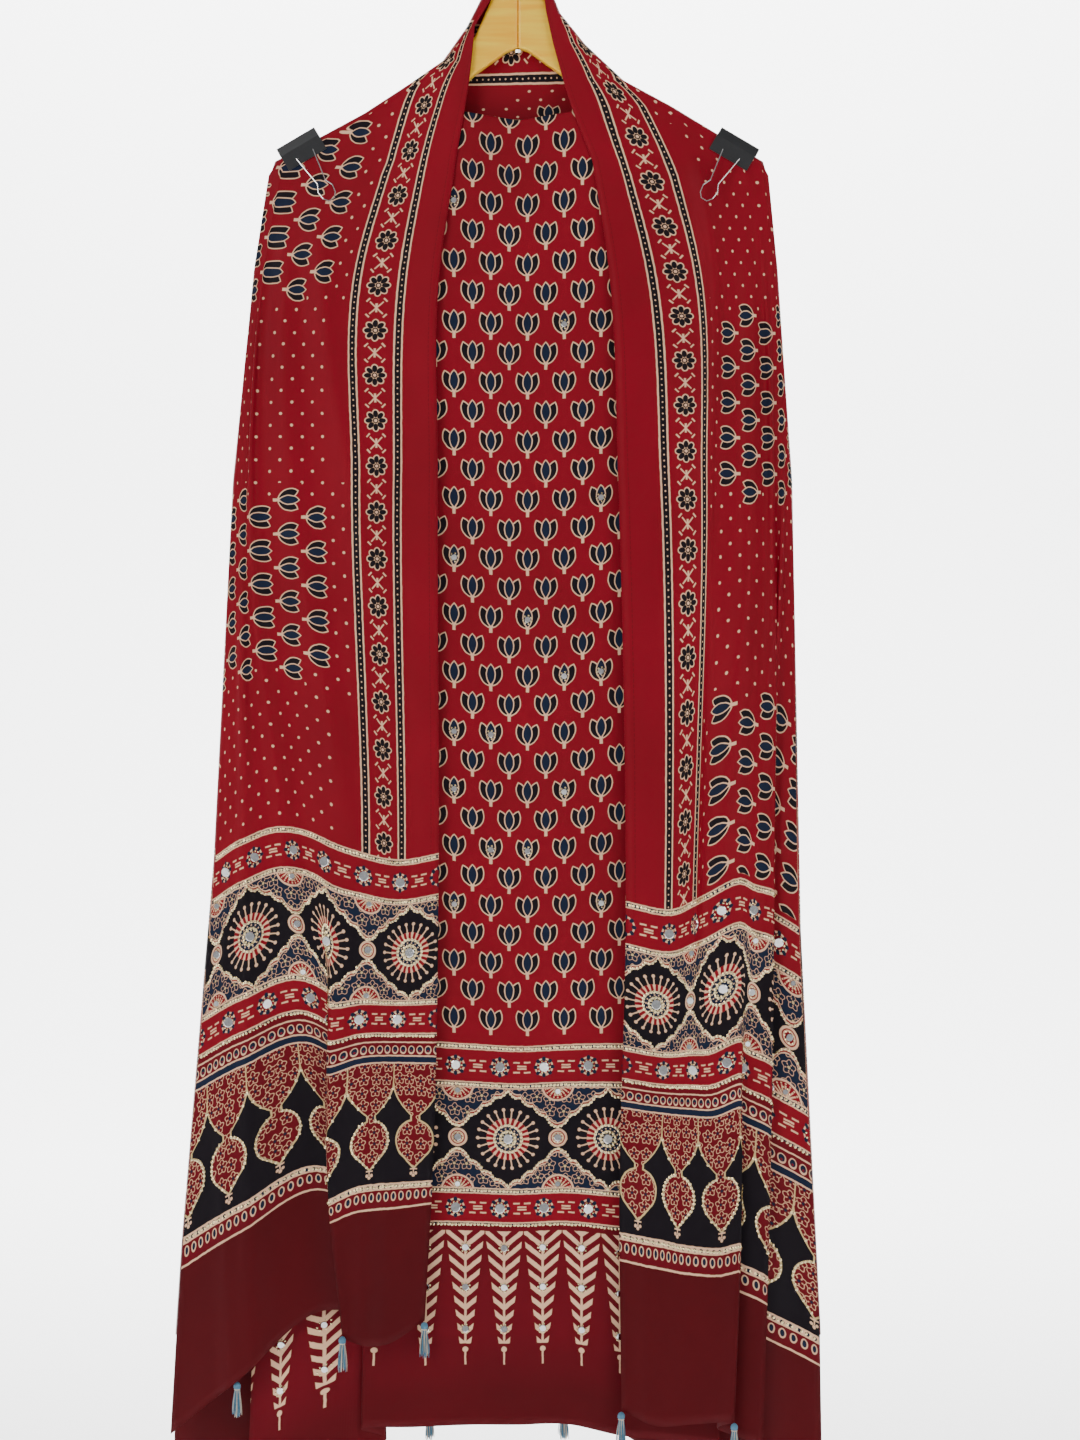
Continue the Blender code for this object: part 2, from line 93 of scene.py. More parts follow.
# %% Cloth sizes and fold tables
TIP_Z = -0.243
TIP_X = 0.229
DUPATTA_WIDTH = 0.95
FRONT_LENGTH = 1.095
HALF_LENGTH = FRONT_LENGTH + TIP_X
TIP_S = 0.19
PLEAT_S = 0.17
FAN_START = math.radians(7.0)
FAN_END = math.radians(90.0)
FAN_RUNS = 6
RUN_SPREAD = 0.205
RUN_FIRST_Y = 0.004
RUN_STEP_Y = 0.0065
BACK_EXTRA_Y = 0.0065
FRONT_Y = -0.0109
BACK_Y = 0.0073
FACE_INSET = 0.004
TIP_CLEAR = 0.022
CLOTH_THICK = 0.0007
LEVELS = (0.0, 0.10, 0.30, 0.644, 0.959, 1.095)

SHOULDER = {
    "left": {
        "z": (-0.0760, -0.1157, -0.1478, -0.1694, -0.1977, -0.2430),
        "s": (0.004, 0.040, 0.066, 0.085, 0.120, 0.190),
        "inner": (-0.0165, -0.0405, -0.0435, -0.0460, -0.0505, -0.0585),
        "outer": (-0.0280, -0.0481, -0.0708, -0.1019, -0.1453, -0.2290)},
    "right": {
        "z": (-0.0760, -0.1025, -0.1320, -0.1666, -0.1911, -0.2430),
        "s": (0.004, 0.030, 0.060, 0.086, 0.118, 0.190),
        "inner": (0.0230, 0.0265, 0.0330, 0.0425, 0.0500, 0.0700),
        "outer": (0.0290, 0.0396, 0.0632, 0.1000, 0.1453, 0.2310)}}


def named_rows(keys, rows):
    return [dict(zip(keys, row)) for row in rows]


# One row for each fold line of a front: s its place across the flat cloth in metres, then at each of
# LEVELS, in millimetres, x its place, drop how far it hangs below its own length, and y its depth
# in front of the hanger.
FOLDS = {
    "left": (
        (0.000, (-58, -73, -75, -74, -80, -87), (0, 0, 0, 9, 0, -8), (11, 16, 20, 24, 27, 28)),
        (0.040, (-89, -107, -113, -109, -116, -121), (0, 0, 0, 15, 2, 13), (11, 15, 18, 22, 30, 33)),
        (0.081, (-121, -149, -152, -142, -151, -152), (0, 0, 0, 9, 5, 11), (11, 16, 20, 27, 35, 38)),
        (0.110, (-146, -172, -179, -170, -177, -163), (0, 0, 0, 0, 17, 3), (11, 16, 19, 25, 37, 41)),
        (0.140, (-176, -198, -207, -194, -153, -138), (0, 0, 0, -11, 3, -12), (11, 14, 18, 20, 27, 29)),
        (0.170, (-206, -224, -236, -215, -181, -176), (0, 0, 0, -16, -12, -17), (11, 13, 17, 19, 20, 21)),
        (0.250, (-222, -240, -256, -259, -259, -262), (0, 0, 0, -4, 22, 48), (11, 13, 17, 22, 25, 28)),
        (0.320, (-229, -246, -266, -284, -314, -326), (0, 0, 0, 12, 56, 101), (9, 9, 11, 14, 15, 15))),
    "right": (
        (0.000, (70, 85, 94, 101, 95, 97), (0, 0, 0, 54, 49, 76), (11, 16, 20, 24, 27, 28)),
        (0.040, (99, 124, 138, 141, 129, 129), (0, 0, 0, 62, 55, 90), (11, 15, 18, 22, 29, 31)),
        (0.081, (143, 168, 175, 166, 160, 160), (0, 0, 0, 53, 61, 88), (11, 16, 21, 19, 32, 34)),
        (0.110, (169, 186, 188, 176, 187, 185), (0, 0, 0, 47, 63, 86), (11, 17, 24, 27, 33, 36)),
        (0.140, (195, 206, 212, 206, 208, 202), (0, 0, 0, 32, 58, 84), (11, 15, 20, 29, 36, 40)),
        (0.165, (212, 222, 229, 221, 197, 186), (0, 0, 0, 38, 70, 92), (11, 13, 17, 22, 27, 28)),
        (0.210, (222, 232, 241, 240, 234, 229), (0, 0, 0, 45, 92, 110), (10, 12, 15, 24, 30, 33)),
        (0.240, (227, 237, 246, 229, 214, 208), (0, 0, 0, 52, 104, 120), (10, 11, 13, 16, 20, 21)),
        (0.320, (231, 242, 256, 264, 283, 286), (0, 0, 0, 80, 150, 170), (9, 9, 10, 13, 15, 15)))}
FOLDS = {side: named_rows(("s", "x", "drop", "y"), rows) for side, rows in FOLDS.items()}

KAMEEZ_LENGTH = 1.23
KAMEEZ_FRONT_Y = -0.0091
KAMEEZ_REAR_Y = -0.0073
# The same for the dress length, at its top fold, half-way down and at its hem; w is its place from
# the middle of the flat cloth.
KAMEEZ_FOLDS = named_rows(("w", "x", "drop", "y"), (
    (-0.260, (-214, -232, -255), (0, 20, 78), (9.1, 10, 9)),
    (-0.200, (-180, -190, -190), (0, 12, 44), (9.1, 11, 12)),
    (-0.158, (-152, -154, -124), (0, 4, 8), (9.1, 10, 9)),
    (-0.140, (-132, -140, -146), (0, 0, 0), (9.1, 11, 14)),
    (-0.095, (-95, -95, -97), (0, 0, -3), (9.1, 12, 13)),
    (-0.045, (-45, -45, -45), (0, 5, -5), (9.1, 10, 12)),
    (0.000, (0, 0, 0), (0, 8, -5), (9.1, 11, 13)),
    (0.045, (45, 45, 45), (0, 6, -6), (9.1, 12, 14)),
    (0.095, (95, 95, 95), (0, 0, 5), (9.1, 10, 12)),
    (0.150, (150, 148, 142), (0, 0, 10), (9.1, 11, 12)),
    (0.215, (214, 205, 190), (0, 5, 16), (9.1, 10, 10))))
KAMEEZ_TOP = {"x": (0.0, 0.053, 0.100, 0.145, 0.190, 0.216),
              "z": (-0.2055, -0.1965, -0.1945, -0.2040, -0.2290, -0.2430)}

# %% [markdown]
# Straight lines between the fold lines would look like paper. A curve that passes through every stop
# and leaves it at the slope of its neighbours is smooth and still goes where the table says.

# %% Smooth reading of a table


def smooth_step(value, low, high):
    part = np.clip((np.asarray(value, float) - low) / (high - low), 0.0, 1.0)
    return part * part * (3.0 - 2.0 * part)


def eased(value, stops, values):
    """Read a table along a smooth curve through its stops, for one value or an array."""
    stops = np.asarray(stops, float)
    values = np.asarray(values, float)
    slopes = np.gradient(values, stops, axis=0)
    value = np.clip(np.asarray(value, float), stops[0], stops[-1])
    k = np.clip(np.searchsorted(stops, value, side="right") - 1, 0, len(stops) - 2)
    span = stops[k + 1] - stops[k]
    p = (value - stops[k]) / span
    start = values[k] * (1 + 2 * p) * (1 - p) ** 2 + slopes[k] * span * p * (1 - p) ** 2
    end = values[k + 1] * p * p * (3 - 2 * p) + slopes[k + 1] * span * p * p * (p - 1)
    return start + end


# %% The fronts of the shawl
STATIONS = {side: [row["s"] for row in rows] for side, rows in FOLDS.items()}
FOLD_VALUES = {}
for side, rows in FOLDS.items():
    table = np.array([[row["x"], row["y"], row["drop"]] for row in rows], float) / 1000
    FOLD_VALUES[side] = table.transpose(2, 0, 1)

# One row for each long crease of a front: where it starts and ends, its half-width and its height.
CREASES = {
    "left": (
        ((0.150, 0.02), (0.045, 0.46), 0.013, 0.0046),
        ((0.175, 0.03), (0.105, 0.62), 0.012, 0.0052),
        ((0.215, 0.08), (0.170, 0.80), 0.014, 0.0058),
        ((0.250, 0.35), (0.235, 1.10), 0.015, 0.0064),
        ((0.065, 0.55), (0.070, 1.10), 0.014, 0.0049),
        ((0.022, 0.30), (0.018, 0.90), 0.010, 0.0026),
        ((0.285, 0.62), (0.262, 1.10), 0.009, 0.0043)),
    "right": (
        ((0.110, -0.05), (0.088, 0.40), 0.010, 0.0061),
        ((0.165, 0.02), (0.120, 0.66), 0.012, 0.0052),
        ((0.205, 0.05), (0.160, 0.78), 0.013, 0.0055),
        ((0.255, 0.20), (0.262, 1.10), 0.015, 0.0061),
        ((0.020, 0.25), (0.026, 1.10), 0.012, 0.0038),
        ((0.292, 0.45), (0.285, 1.10), 0.010, 0.0046))}


def creased(side, across, depth):
    """How far the creases lift the cloth toward the viewer."""
    lift = np.zeros_like(across)
    for (s0, d0), (s1, d1), wide, high in CREASES[side]:
        part = (depth - d0) / (d1 - d0)
        fade = smooth_step(part, 0.0, 0.22) * (1 - smooth_step(part, 0.86, 1.06) * (d1 < FRONT_LENGTH))
        middle = s0 + (s1 - s0) * part + 0.004 * math.sin(part * 7 + s0 * 60)
        lift += high * fade * np.exp(-((across - middle) / wide) ** 2)
    return lift


def front_places(side, across, depth):
    """Points of a front at one depth below the tips, for an array of places across it."""
    stations = STATIONS[side]
    lines = eased(depth, LEVELS, FOLD_VALUES[side])
    x, y, drop = (eased(across, stations, lines[:, k]) for k in range(3))
    lively = smooth_step(depth, 0.15, 0.7)
    ripple = np.sin(across * 74 + depth * 3.1) * np.sin(depth * 5.3 + across * 12) * 0.0011
    shiver = np.sin(across * 150 - depth * 9.0) * 0.0004
    inside = np.sin(np.pi * np.clip(across / stations[-1], 0, 1))
    y = -y - (0.0014 + ripple + shiver) * lively * inside
    y = y - creased(side, across, depth) * np.minimum(inside * 2, 1.0)
    return np.stack([x, y, TIP_Z - depth - drop], axis=-1)


def print_across(side, across, depth):
    """The flat place across the cloth: past the pleat the front widens with its depth."""
    last = FOLDS[side][-1]["s"]
    reach = TIP_S + depth * math.tan(FAN_START)
    past = PLEAT_S + (across - PLEAT_S) * (reach - PLEAT_S) / (last - PLEAT_S)
    return np.where(across < PLEAT_S, across, past)


def outer_edge(side, z):
    last = FOLDS[side][-1]
    depths = [level + drop / 1000 for level, drop in zip(LEVELS, last["drop"])]
    return abs(np.interp(TIP_Z - z, depths, last["x"])) / 1000


def run_y(layer, depth):
    ring = FRONT_Y + (BACK_Y - FRONT_Y) * layer / (FAN_RUNS + 1)
    hung = RUN_FIRST_Y + RUN_STEP_Y * (layer - 1)
    return ring + (hung - ring) * smooth_step(depth, 0.0, 0.18)


# %% [markdown]
# Past the arm's tip the shawl has nowhere to go but down, so it fans out from the tip and gathers
# into folds behind the front. Each fold line is a straight ray from the tip, which keeps the true
# length of cloth. The rays are walked in order, with a round turn where one run meets the next.

# %% The folds behind the fronts
TURN_POINTS = 5
RUN_POINTS = 5
TURN_BULGE = 0.003
SIGN = {"left": -1, "right": 1}


def fan_columns():
    columns = []
    step = (FAN_END - FAN_START) / FAN_RUNS
    for k in range(FAN_RUNS + 1):
        angle = FAN_START + step * k
        inner = float(k % 2)
        for m in range(TURN_POINTS):
            turn = (m + 0.5) / TURN_POINTS
            bulge = TURN_BULGE * math.sin(math.pi * turn)
            columns.append({"angle": angle, "layer": k + turn, "inner": inner, "bulge": bulge})
        if k < FAN_RUNS:
            for m in range(1, RUN_POINTS):
                p = m / RUN_POINTS
                columns.append({"angle": angle + step * p, "layer": k + 1.0,
                                "inner": abs(inner - p), "bulge": 0.0})
    return columns


def fan_length(angle):
    to_end = FRONT_LENGTH / math.cos(angle) if math.cos(angle) > 1e-6 else 9.0
    to_side = (DUPATTA_WIDTH - TIP_S) / math.sin(angle)
    return min(to_end, to_side)


def fan_place(side, column, depth):
    """A point of the folds and its flat place on the cloth."""
    z = TIP_Z - depth
    layer, inner = column["layer"], column["inner"]
    out = outer_edge(side, z) - 0.0015 * layer * smooth_step(depth, 0.0, 0.1)
    reach = RUN_SPREAD * max(depth - TIP_CLEAR, 0.0)
    puff = column["bulge"] * (1 - inner - inner * smooth_step(depth, TIP_CLEAR, 0.08))
    x = out - reach * inner + puff
    if layer < 1:
        front = -float(eased(depth, LEVELS, FOLDS[side][-1]["y"])) / 1000
        y = front + (run_y(1, depth) - front) * layer
    elif inner in (0.0, 1.0):
        low = math.floor(layer)
        y = run_y(low, depth) + (run_y(low + 1, depth) - run_y(low, depth)) * (layer - low)
    else:
        y = run_y(layer, depth)
    angle = column["angle"]
    flat = (TIP_S + depth * math.sin(angle), FRONT_LENGTH - depth * math.cos(angle))
    return (SIGN[side] * x, y, z), flat


# %% The back of the shawl
def back_y(x, depth):
    hung = run_y(FAN_RUNS + 1, depth) + BACK_EXTRA_Y * smooth_step(depth, 0.0, 0.3)
    wave = 0.006 * np.sin(x * 42.0 + 0.6) + 0.004 * np.sin(x * 71.0)
    return hung + np.abs(wave) * smooth_step(depth, 0.05, 0.6)


FRONT_COLUMNS = 46
BACK_COLUMNS = 44
UPPER_STEPS = 5
LOWER_ROWS = 132
FIRST_LOWER = 0.012


def half_row(side, upper, place):
    """Points and flat places of one half of a row, from the inner edge out and round to the back."""
    rows = FOLDS[side]
    across = np.linspace(0.0, rows[-1]["s"], FRONT_COLUMNS)
    columns = fan_columns()
    if not upper:
        depth = place * FRONT_LENGTH
        front = [tuple(p) for p in front_places(side, across, depth)]
        flat = [(float(s), FRONT_LENGTH - depth) for s in print_across(side, across, depth)]
        for column in columns:
            point, spot = fan_place(side, column, place * fan_length(column["angle"]))
            front.append(point)
            flat.append(spot)
        return front, flat
    table = SHOULDER[side]
    sign = SIGN[side]
    levels = np.arange(len(table["z"]))
    keys = ("z", "inner", "outer", "s")
    z, inner, outer, width = (float(np.interp(place, levels, table[key])) for key in keys)
    outer -= sign * FACE_INSET
    line = eased(across, [row["s"] for row in rows], [row["x"][0] for row in rows])
    shares = (line - line[0]) / (line[-1] - line[0])
    tip_print = print_across(side, across, 0.0) / TIP_S
    height = FRONT_LENGTH + (z - TIP_Z)
    front = [(inner + (outer - inner) * float(p), FRONT_Y, z) for p in shares]
    flat = [(width * float(s), height) for s in tip_print]
    along = FRONT_LENGTH + TIP_X - abs(outer)
    for k in range(len(columns)):
        turn = math.pi * (k + 1) / (len(columns) + 1)
        y = (FRONT_Y + BACK_Y) / 2 - (BACK_Y - FRONT_Y) / 2 * math.cos(turn)
        front.append((outer + sign * FACE_INSET * math.sin(turn), y, z))
        flat.append((width, height + (along - height) * k / len(columns)))
    return front, flat


def dupatta_row(upper, place):
    left, left_flat = half_row("left", upper, place)
    right, right_flat = half_row("right", upper, place)
    start, end = left[-1], right[-1]
    points = list(left)
    flat = list(left_flat)
    for k in range(1, BACK_COLUMNS + 1):
        p = k / (BACK_COLUMNS + 1)
        x = start[0] + (end[0] - start[0]) * p
        z = start[2] + (end[2] - start[2]) * p
        y = BACK_Y if upper else float(back_y(x, TIP_Z - z))
        points.append((x, y, z))
        deep = left_flat[-1][0] + (right_flat[-1][0] - left_flat[-1][0]) * p
        flat.append((deep, HALF_LENGTH + x))
    points.extend(reversed(right))
    flat.extend((s, 2 * HALF_LENGTH - t) for s, t in reversed(right_flat))
    return points, flat


def dupatta_grid():
    steps = (len(SHOULDER["left"]["z"]) - 1) * UPPER_STEPS
    rows = [dupatta_row(True, k / UPPER_STEPS) for k in range(steps + 1)]
    lower = np.linspace(FIRST_LOWER, 1.0, LOWER_ROWS + 1)
    rows += [dupatta_row(False, float(place)) for place in lower]
    return np.array([r[0] for r in rows], float), np.array([r[1] for r in rows], float)


# %% The dress length
KAMEEZ_COLUMNS = 110
KAMEEZ_ROWS = 150
KAMEEZ_TURN = 4
REAR_ROWS = 40
REAR_OUT = 0.0035
REAR_SHORT = 0.012
TURN_RISE = 0.0009


def kameez_row(share, rear):
    """A row across the dress length, from its top fold, 0, to its hem, 1."""
    stops = (0.0, 0.5, 1.0)
    stations = [row["w"] for row in KAMEEZ_FOLDS]
    w = np.linspace(stations[0], stations[-1], KAMEEZ_COLUMNS)
    level = KAMEEZ_TOP["z"][0]
    calm = 1 - smooth_step(share, 0.0, 0.2)
    if rear:
        ends = [KAMEEZ_FOLDS[k]["x"][0] / 1000 for k in (0, -1)]
        x = np.interp(w, (stations[0], stations[-1]), ends)
        y = np.full_like(x, KAMEEZ_REAR_Y + REAR_OUT * float(smooth_step(share, 0.05, 0.4)))
        drop = 0.0
        length = KAMEEZ_LENGTH - REAR_SHORT
    else:
        values = []
        for key in ("x", "y", "drop"):
            line = [float(eased(share, stops, row[key])) / 1000 for row in KAMEEZ_FOLDS]
            values.append(eased(w, stations, line))
        x, y, drop = values
        ripple = np.sin(w * 38 + share * 4) * np.sin(share * 9 + w * 8)
        y = -y - 0.0012 * (1 + ripple) * float(smooth_step(share, 0.05, 0.5))
        length = KAMEEZ_LENGTH
    top = np.interp(np.abs(x), KAMEEZ_TOP["x"], KAMEEZ_TOP["z"])
    z = level + (top - level) * calm - share * length - drop
    height = KAMEEZ_LENGTH + share * length if rear else (1 - share) * KAMEEZ_LENGTH
    return np.stack([x, y, z], axis=-1), np.stack([w, np.full_like(w, height)], axis=-1)


def kameez_grid():
    rows = [kameez_row(k / KAMEEZ_ROWS, False) for k in range(KAMEEZ_ROWS, -1, -1)]
    top, flat = rows[-1]
    middle, half = (KAMEEZ_FRONT_Y + KAMEEZ_REAR_Y) / 2, (KAMEEZ_REAR_Y - KAMEEZ_FRONT_Y) / 2
    for m in range(1, KAMEEZ_TURN):
        turn = math.pi * m / KAMEEZ_TURN
        bend = top.copy()
        bend[:, 1] = middle - half * math.cos(turn)
        bend[:, 2] += TURN_RISE * math.sin(turn)
        rows.append((bend, flat))
    rows += [kameez_row(k / REAR_ROWS, True) for k in range(REAR_ROWS + 1)]
    return np.array([r[0] for r in rows]), np.array([r[1] for r in rows])


# %% [markdown]
# A grid of points becomes a mesh whose faces carry two sets of flat coordinates. One is the cloth's
# own, in metres, and the print reads it. The other fills the unit square.

# %% Build a sheet
def sheet_object(name, points, flat, thick):
    rows, columns = points.shape[:2]
    index = np.arange(rows * columns).reshape(rows, columns)
    faces = np.stack([index[:-1, :-1], index[1:, :-1], index[1:, 1:], index[:-1, 1:]], axis=-1)
    faces = faces.reshape(-1, 4)
    mesh = bpy.data.meshes.new(name)
    mesh.from_pydata(points.reshape(-1, 3).tolist(), [], faces.tolist())
    order = faces.reshape(-1)
    square = mesh.uv_layers.new(name="OFBake")
    u = (order % columns) / (columns - 1)
    v = (order // columns) / (rows - 1)
    square.data.foreach_set("uv", np.stack([u * 0.99 + 0.005, v * 0.99 + 0.005], axis=-1).reshape(-1))
    cloth = mesh.uv_layers.new(name="cloth")
    cloth.data.foreach_set("uv", flat.reshape(-1, 2)[order].reshape(-1))
    mesh.shade_smooth()
    item = bpy.data.objects.new(name, mesh)
    bpy.context.collection.objects.link(item)
    solid = item.modifiers.new("thickness", "SOLIDIFY")
    solid.thickness = thick
    solid.offset = 0.0
    print(name, "faces", len(faces))
    return item


SHAWL_POINTS, SHAWL_FLAT = dupatta_grid()
DRESS_POINTS, DRESS_FLAT = kameez_grid()
shawl = sheet_object("shawl_sheet", SHAWL_POINTS, SHAWL_FLAT, CLOTH_THICK)
dress = sheet_object("dress_sheet", DRESS_POINTS, DRESS_FLAT, CLOTH_THICK)

# %% [markdown]
# The print is drawn by numbers, so it stays sharp at any size. A motif is a distance to its outline,
# and a repeat folds the cloth's flat place back into one cell. Written as Blender nodes this takes
# hundreds of Math nodes, so a small class lets an ordinary expression add them.

# %% Shader maths as expressions


class Value:
    """A number that varies over a surface: an output socket with Python's operators."""

    def __init__(self, tree, socket):
        self.tree = tree
        self.socket = socket

    def math(self, operation, *others):
        return maths(self.tree, operation, self, *others)

    def __add__(self, other):
        return self.math("ADD", other)

    __radd__ = __add__

    def __sub__(self, other):
        return self.math("SUBTRACT", other)

    def __rsub__(self, other):
        return maths(self.tree, "SUBTRACT", other, self)

    def __mul__(self, other):
        return self.math("MULTIPLY", other)

    __rmul__ = __mul__

    def __truediv__(self, other):
        return self.math("DIVIDE", other)

    def __neg__(self):
        return self.math("MULTIPLY", -1.0)

    def __abs__(self):
        return self.math("ABSOLUTE")

    def __mod__(self, other):
        return self.math("FLOORED_MODULO", other)

    def __gt__(self, other):
        return self.math("GREATER_THAN", other)


def set_inputs(tree, node, values):
    """Give a node's sockets numbers or links, in order or by name."""
    pairs = values.items() if isinstance(values, dict) else enumerate(values)
    for key, value in pairs:
        if isinstance(value, Value):
            tree.links.new(value.socket, node.inputs[key])
        else:
            node.inputs[key].default_value = value


def add_node(tree, kind, settings, values):
    """Any node: its settings are set first, because they decide which sockets it has."""
    node = tree.nodes.new(kind)
    for key, setting in settings.items():
        setattr(node, key, setting)
    set_inputs(tree, node, values)
    return node


def read_node(tree, kind, values, output=0, **settings):
    """Add a node and take one of its outputs."""
    return Value(tree, add_node(tree, kind, settings, values).outputs[output])


def maths(tree, operation, *values):
    return read_node(tree, "ShaderNodeMath", values, operation=operation)


def mix(tree, factor, first, second, blend="MIX"):
    """One colour over another, each three numbers or a link."""
    first, second = (c if isinstance(c, Value) else (*c, 1.0) for c in (first, second))
    return read_node(tree, "ShaderNodeMix", {0: factor, 6: first, 7: second}, 2,
                     data_type="RGBA", blend_type=blend)


def least(a, b):
    return a.math("MINIMUM", b)


def most(a, b):
    return a.math("MAXIMUM", b)


def fill(distance, soft=0.0005):
    """1 inside an outline, 0 outside, from a distance that is negative inside."""
    return (0.5 - distance / soft).math("MINIMUM", 1.0).math("MAXIMUM", 0.0)


def repeat(place, pitch, start=0.0):
    """Fold a coordinate into one cell, centred on 0."""
    return ((place - start) / pitch + 0.5) % 1.0 * pitch - pitch / 2


def row_number(place, pitch, start=0.0):
    return ((place - start) / pitch + 0.5).math("FLOOR")


def length(x, y):
    return (x * x + y * y).math("SQRT")


def disc(x, y, radius):
    return length(x, y) - radius


def oval(x, y, wide, high):
    """A near enough distance to an ellipse."""
    near = length(x / wide, y / high)
    return near * (near - 1.0) / (length(x / wide ** 2, y / high ** 2) + 0.0001)


def petal(x, y, half_long, half_wide):
    """A leaf with a point at each end, where two round edges meet."""
    radius = (half_long ** 2 + half_wide ** 2) / (2 * half_wide)
    return length(x, abs(y) + (radius - half_wide)) - radius


def bar(x, half):
    return abs(x) - half


def box(x, y, half_x, half_y):
    return most(abs(x) - half_x, abs(y) - half_y)


def tilted(x, y, degrees):
    cos, sin = math.cos(math.radians(degrees)), math.sin(math.radians(degrees))
    return x * cos + y * sin, y * cos - x * sin


def spokes(x, y, count, turn=0.0):
    """Fold the plane into one of count equal wedges: along the spoke, and across it."""
    angle = y.math("ARCTAN2", x)
    wedge = 2 * math.pi / count
    folded = ((angle + turn) / wedge + 0.5) % 1.0 * wedge - wedge / 2
    far = length(x, y)
    return far * folded.math("COSINE"), far * folded.math("SINE")


class Print:
    """Colour laid on colour, as the printer lays one block over another."""

    def __init__(self, tree, ground):
        self.tree = tree
        self.colour = mix(tree, 0.0, ground, ground)

    def lay(self, mask, colour):
        self.colour = mix(self.tree, mask, self.colour, colour)

    def stamp(self, where, distance, colour):
        """Lay a colour inside an outline, only where the mask is 1."""
        self.lay(where * fill(distance), colour)

    def ring(self, where, far, radius, half, colour):
        self.stamp(where, abs(far - radius) - half, colour)


RED = (0.240, 0.0015, 0.0110)
DEEP_RED = (0.140, 0.001, 0.007)
# dark red of the shawl's printed ends, also laid as painted shade towards the dress length's hem
HEM_RED_AND_SHADE = (0.086, 0.0004, 0.0030)
CREAM = (0.860, 0.540, 0.330)
NAVY = (0.006, 0.013, 0.036)
LACE_CREAM = (0.680, 0.390, 0.230)
BLACK = (0.006, 0.003, 0.006)
GOLD = (0.680, 0.500, 0.220)


# %% Motifs of the print
BAND_PITCH = 0.094
MIRROR_PITCH = 0.0415
RAGGED = 0.003


def lotus(along, across):
    """A lotus bud on a stem that points to +along: its cream parts and its dark parts."""
    side = abs(across) - 0.0054
    leaf_x, leaf_y = tilted(along + 0.0010, side, -20)
    heart = petal(along + 0.0020, across, 0.0102, 0.0047)
    leaves = petal(leaf_x, leaf_y, 0.0106, 0.0052)
    stem = box(along - 0.0120, across, 0.0062, 0.0014)
    cream = least(least(heart, leaves), stem)
    dark = least(heart + 0.0009, most(leaves + 0.0010, 0.0001 - heart))
    return cream, dark, heart + 0.0011


def small_flower(x, y):
    """Eight dark petals with cream outlines round a ringed eye."""
    reach, sideways = spokes(x, y, 8)
    petals = oval(reach - 0.0062, sideways, 0.0034, 0.0023)
    cream = least(petals - 0.0010, disc(x, y, 0.0034))
    dark = least(petals, most(disc(x, y, 0.0026), 0.0014 - length(x, y)))
    return cream, dark


def spider(x, y):
    """Crossed strokes with short dashes at their ends, between two flowers."""
    reach, sideways = spokes(x, y, 4, math.pi / 4)
    legs = box(reach - 0.0040, sideways, 0.0040, 0.0006)
    dashes = box(reach - 0.0105, sideways, 0.0007, 0.0022)
    waist = box(x, y, 0.0009, 0.0042)
    return least(least(legs, dashes), waist)


def net(x, y, pitch):
    """A running net of little flowers: their outlines with a ring of dots, and their eyes."""
    spot = read_node(x.tree, "ShaderNodeCombineXYZ", [x, y])
    cells = {"Vector": spot, "Scale": 1 / pitch, "Randomness": 0.30}
    near = read_node(x.tree, "ShaderNodeTexVoronoi", cells, "Position", voronoi_dimensions="2D")
    centre = add_node(x.tree, "ShaderNodeSeparateXYZ", {}, [near])
    over = x - Value(x.tree, centre.outputs[0])
    up = y - Value(x.tree, centre.outputs[1])
    far = length(over, up)
    wave = (up.math("ARCTAN2", over) * 5.0).math("SINE")
    outline = abs(far - pitch * 0.40 - wave * (pitch * 0.07)) - pitch * 0.042
    reach, sideways = spokes(over, up, 5, math.pi / 10)
    dots = oval(reach - pitch * 0.22, sideways, pitch * 0.075, pitch * 0.055)
    return least(outline, dots), far - pitch * 0.10


def arch_height(half):
    """How deep an arch reaches into its band, for a distance along from its tip."""
    rise = 1.0 - abs(half) * (2 / BAND_PITCH)
    return (rise * 0.7 + rise * rise * 0.3) * 0.036 + 0.004


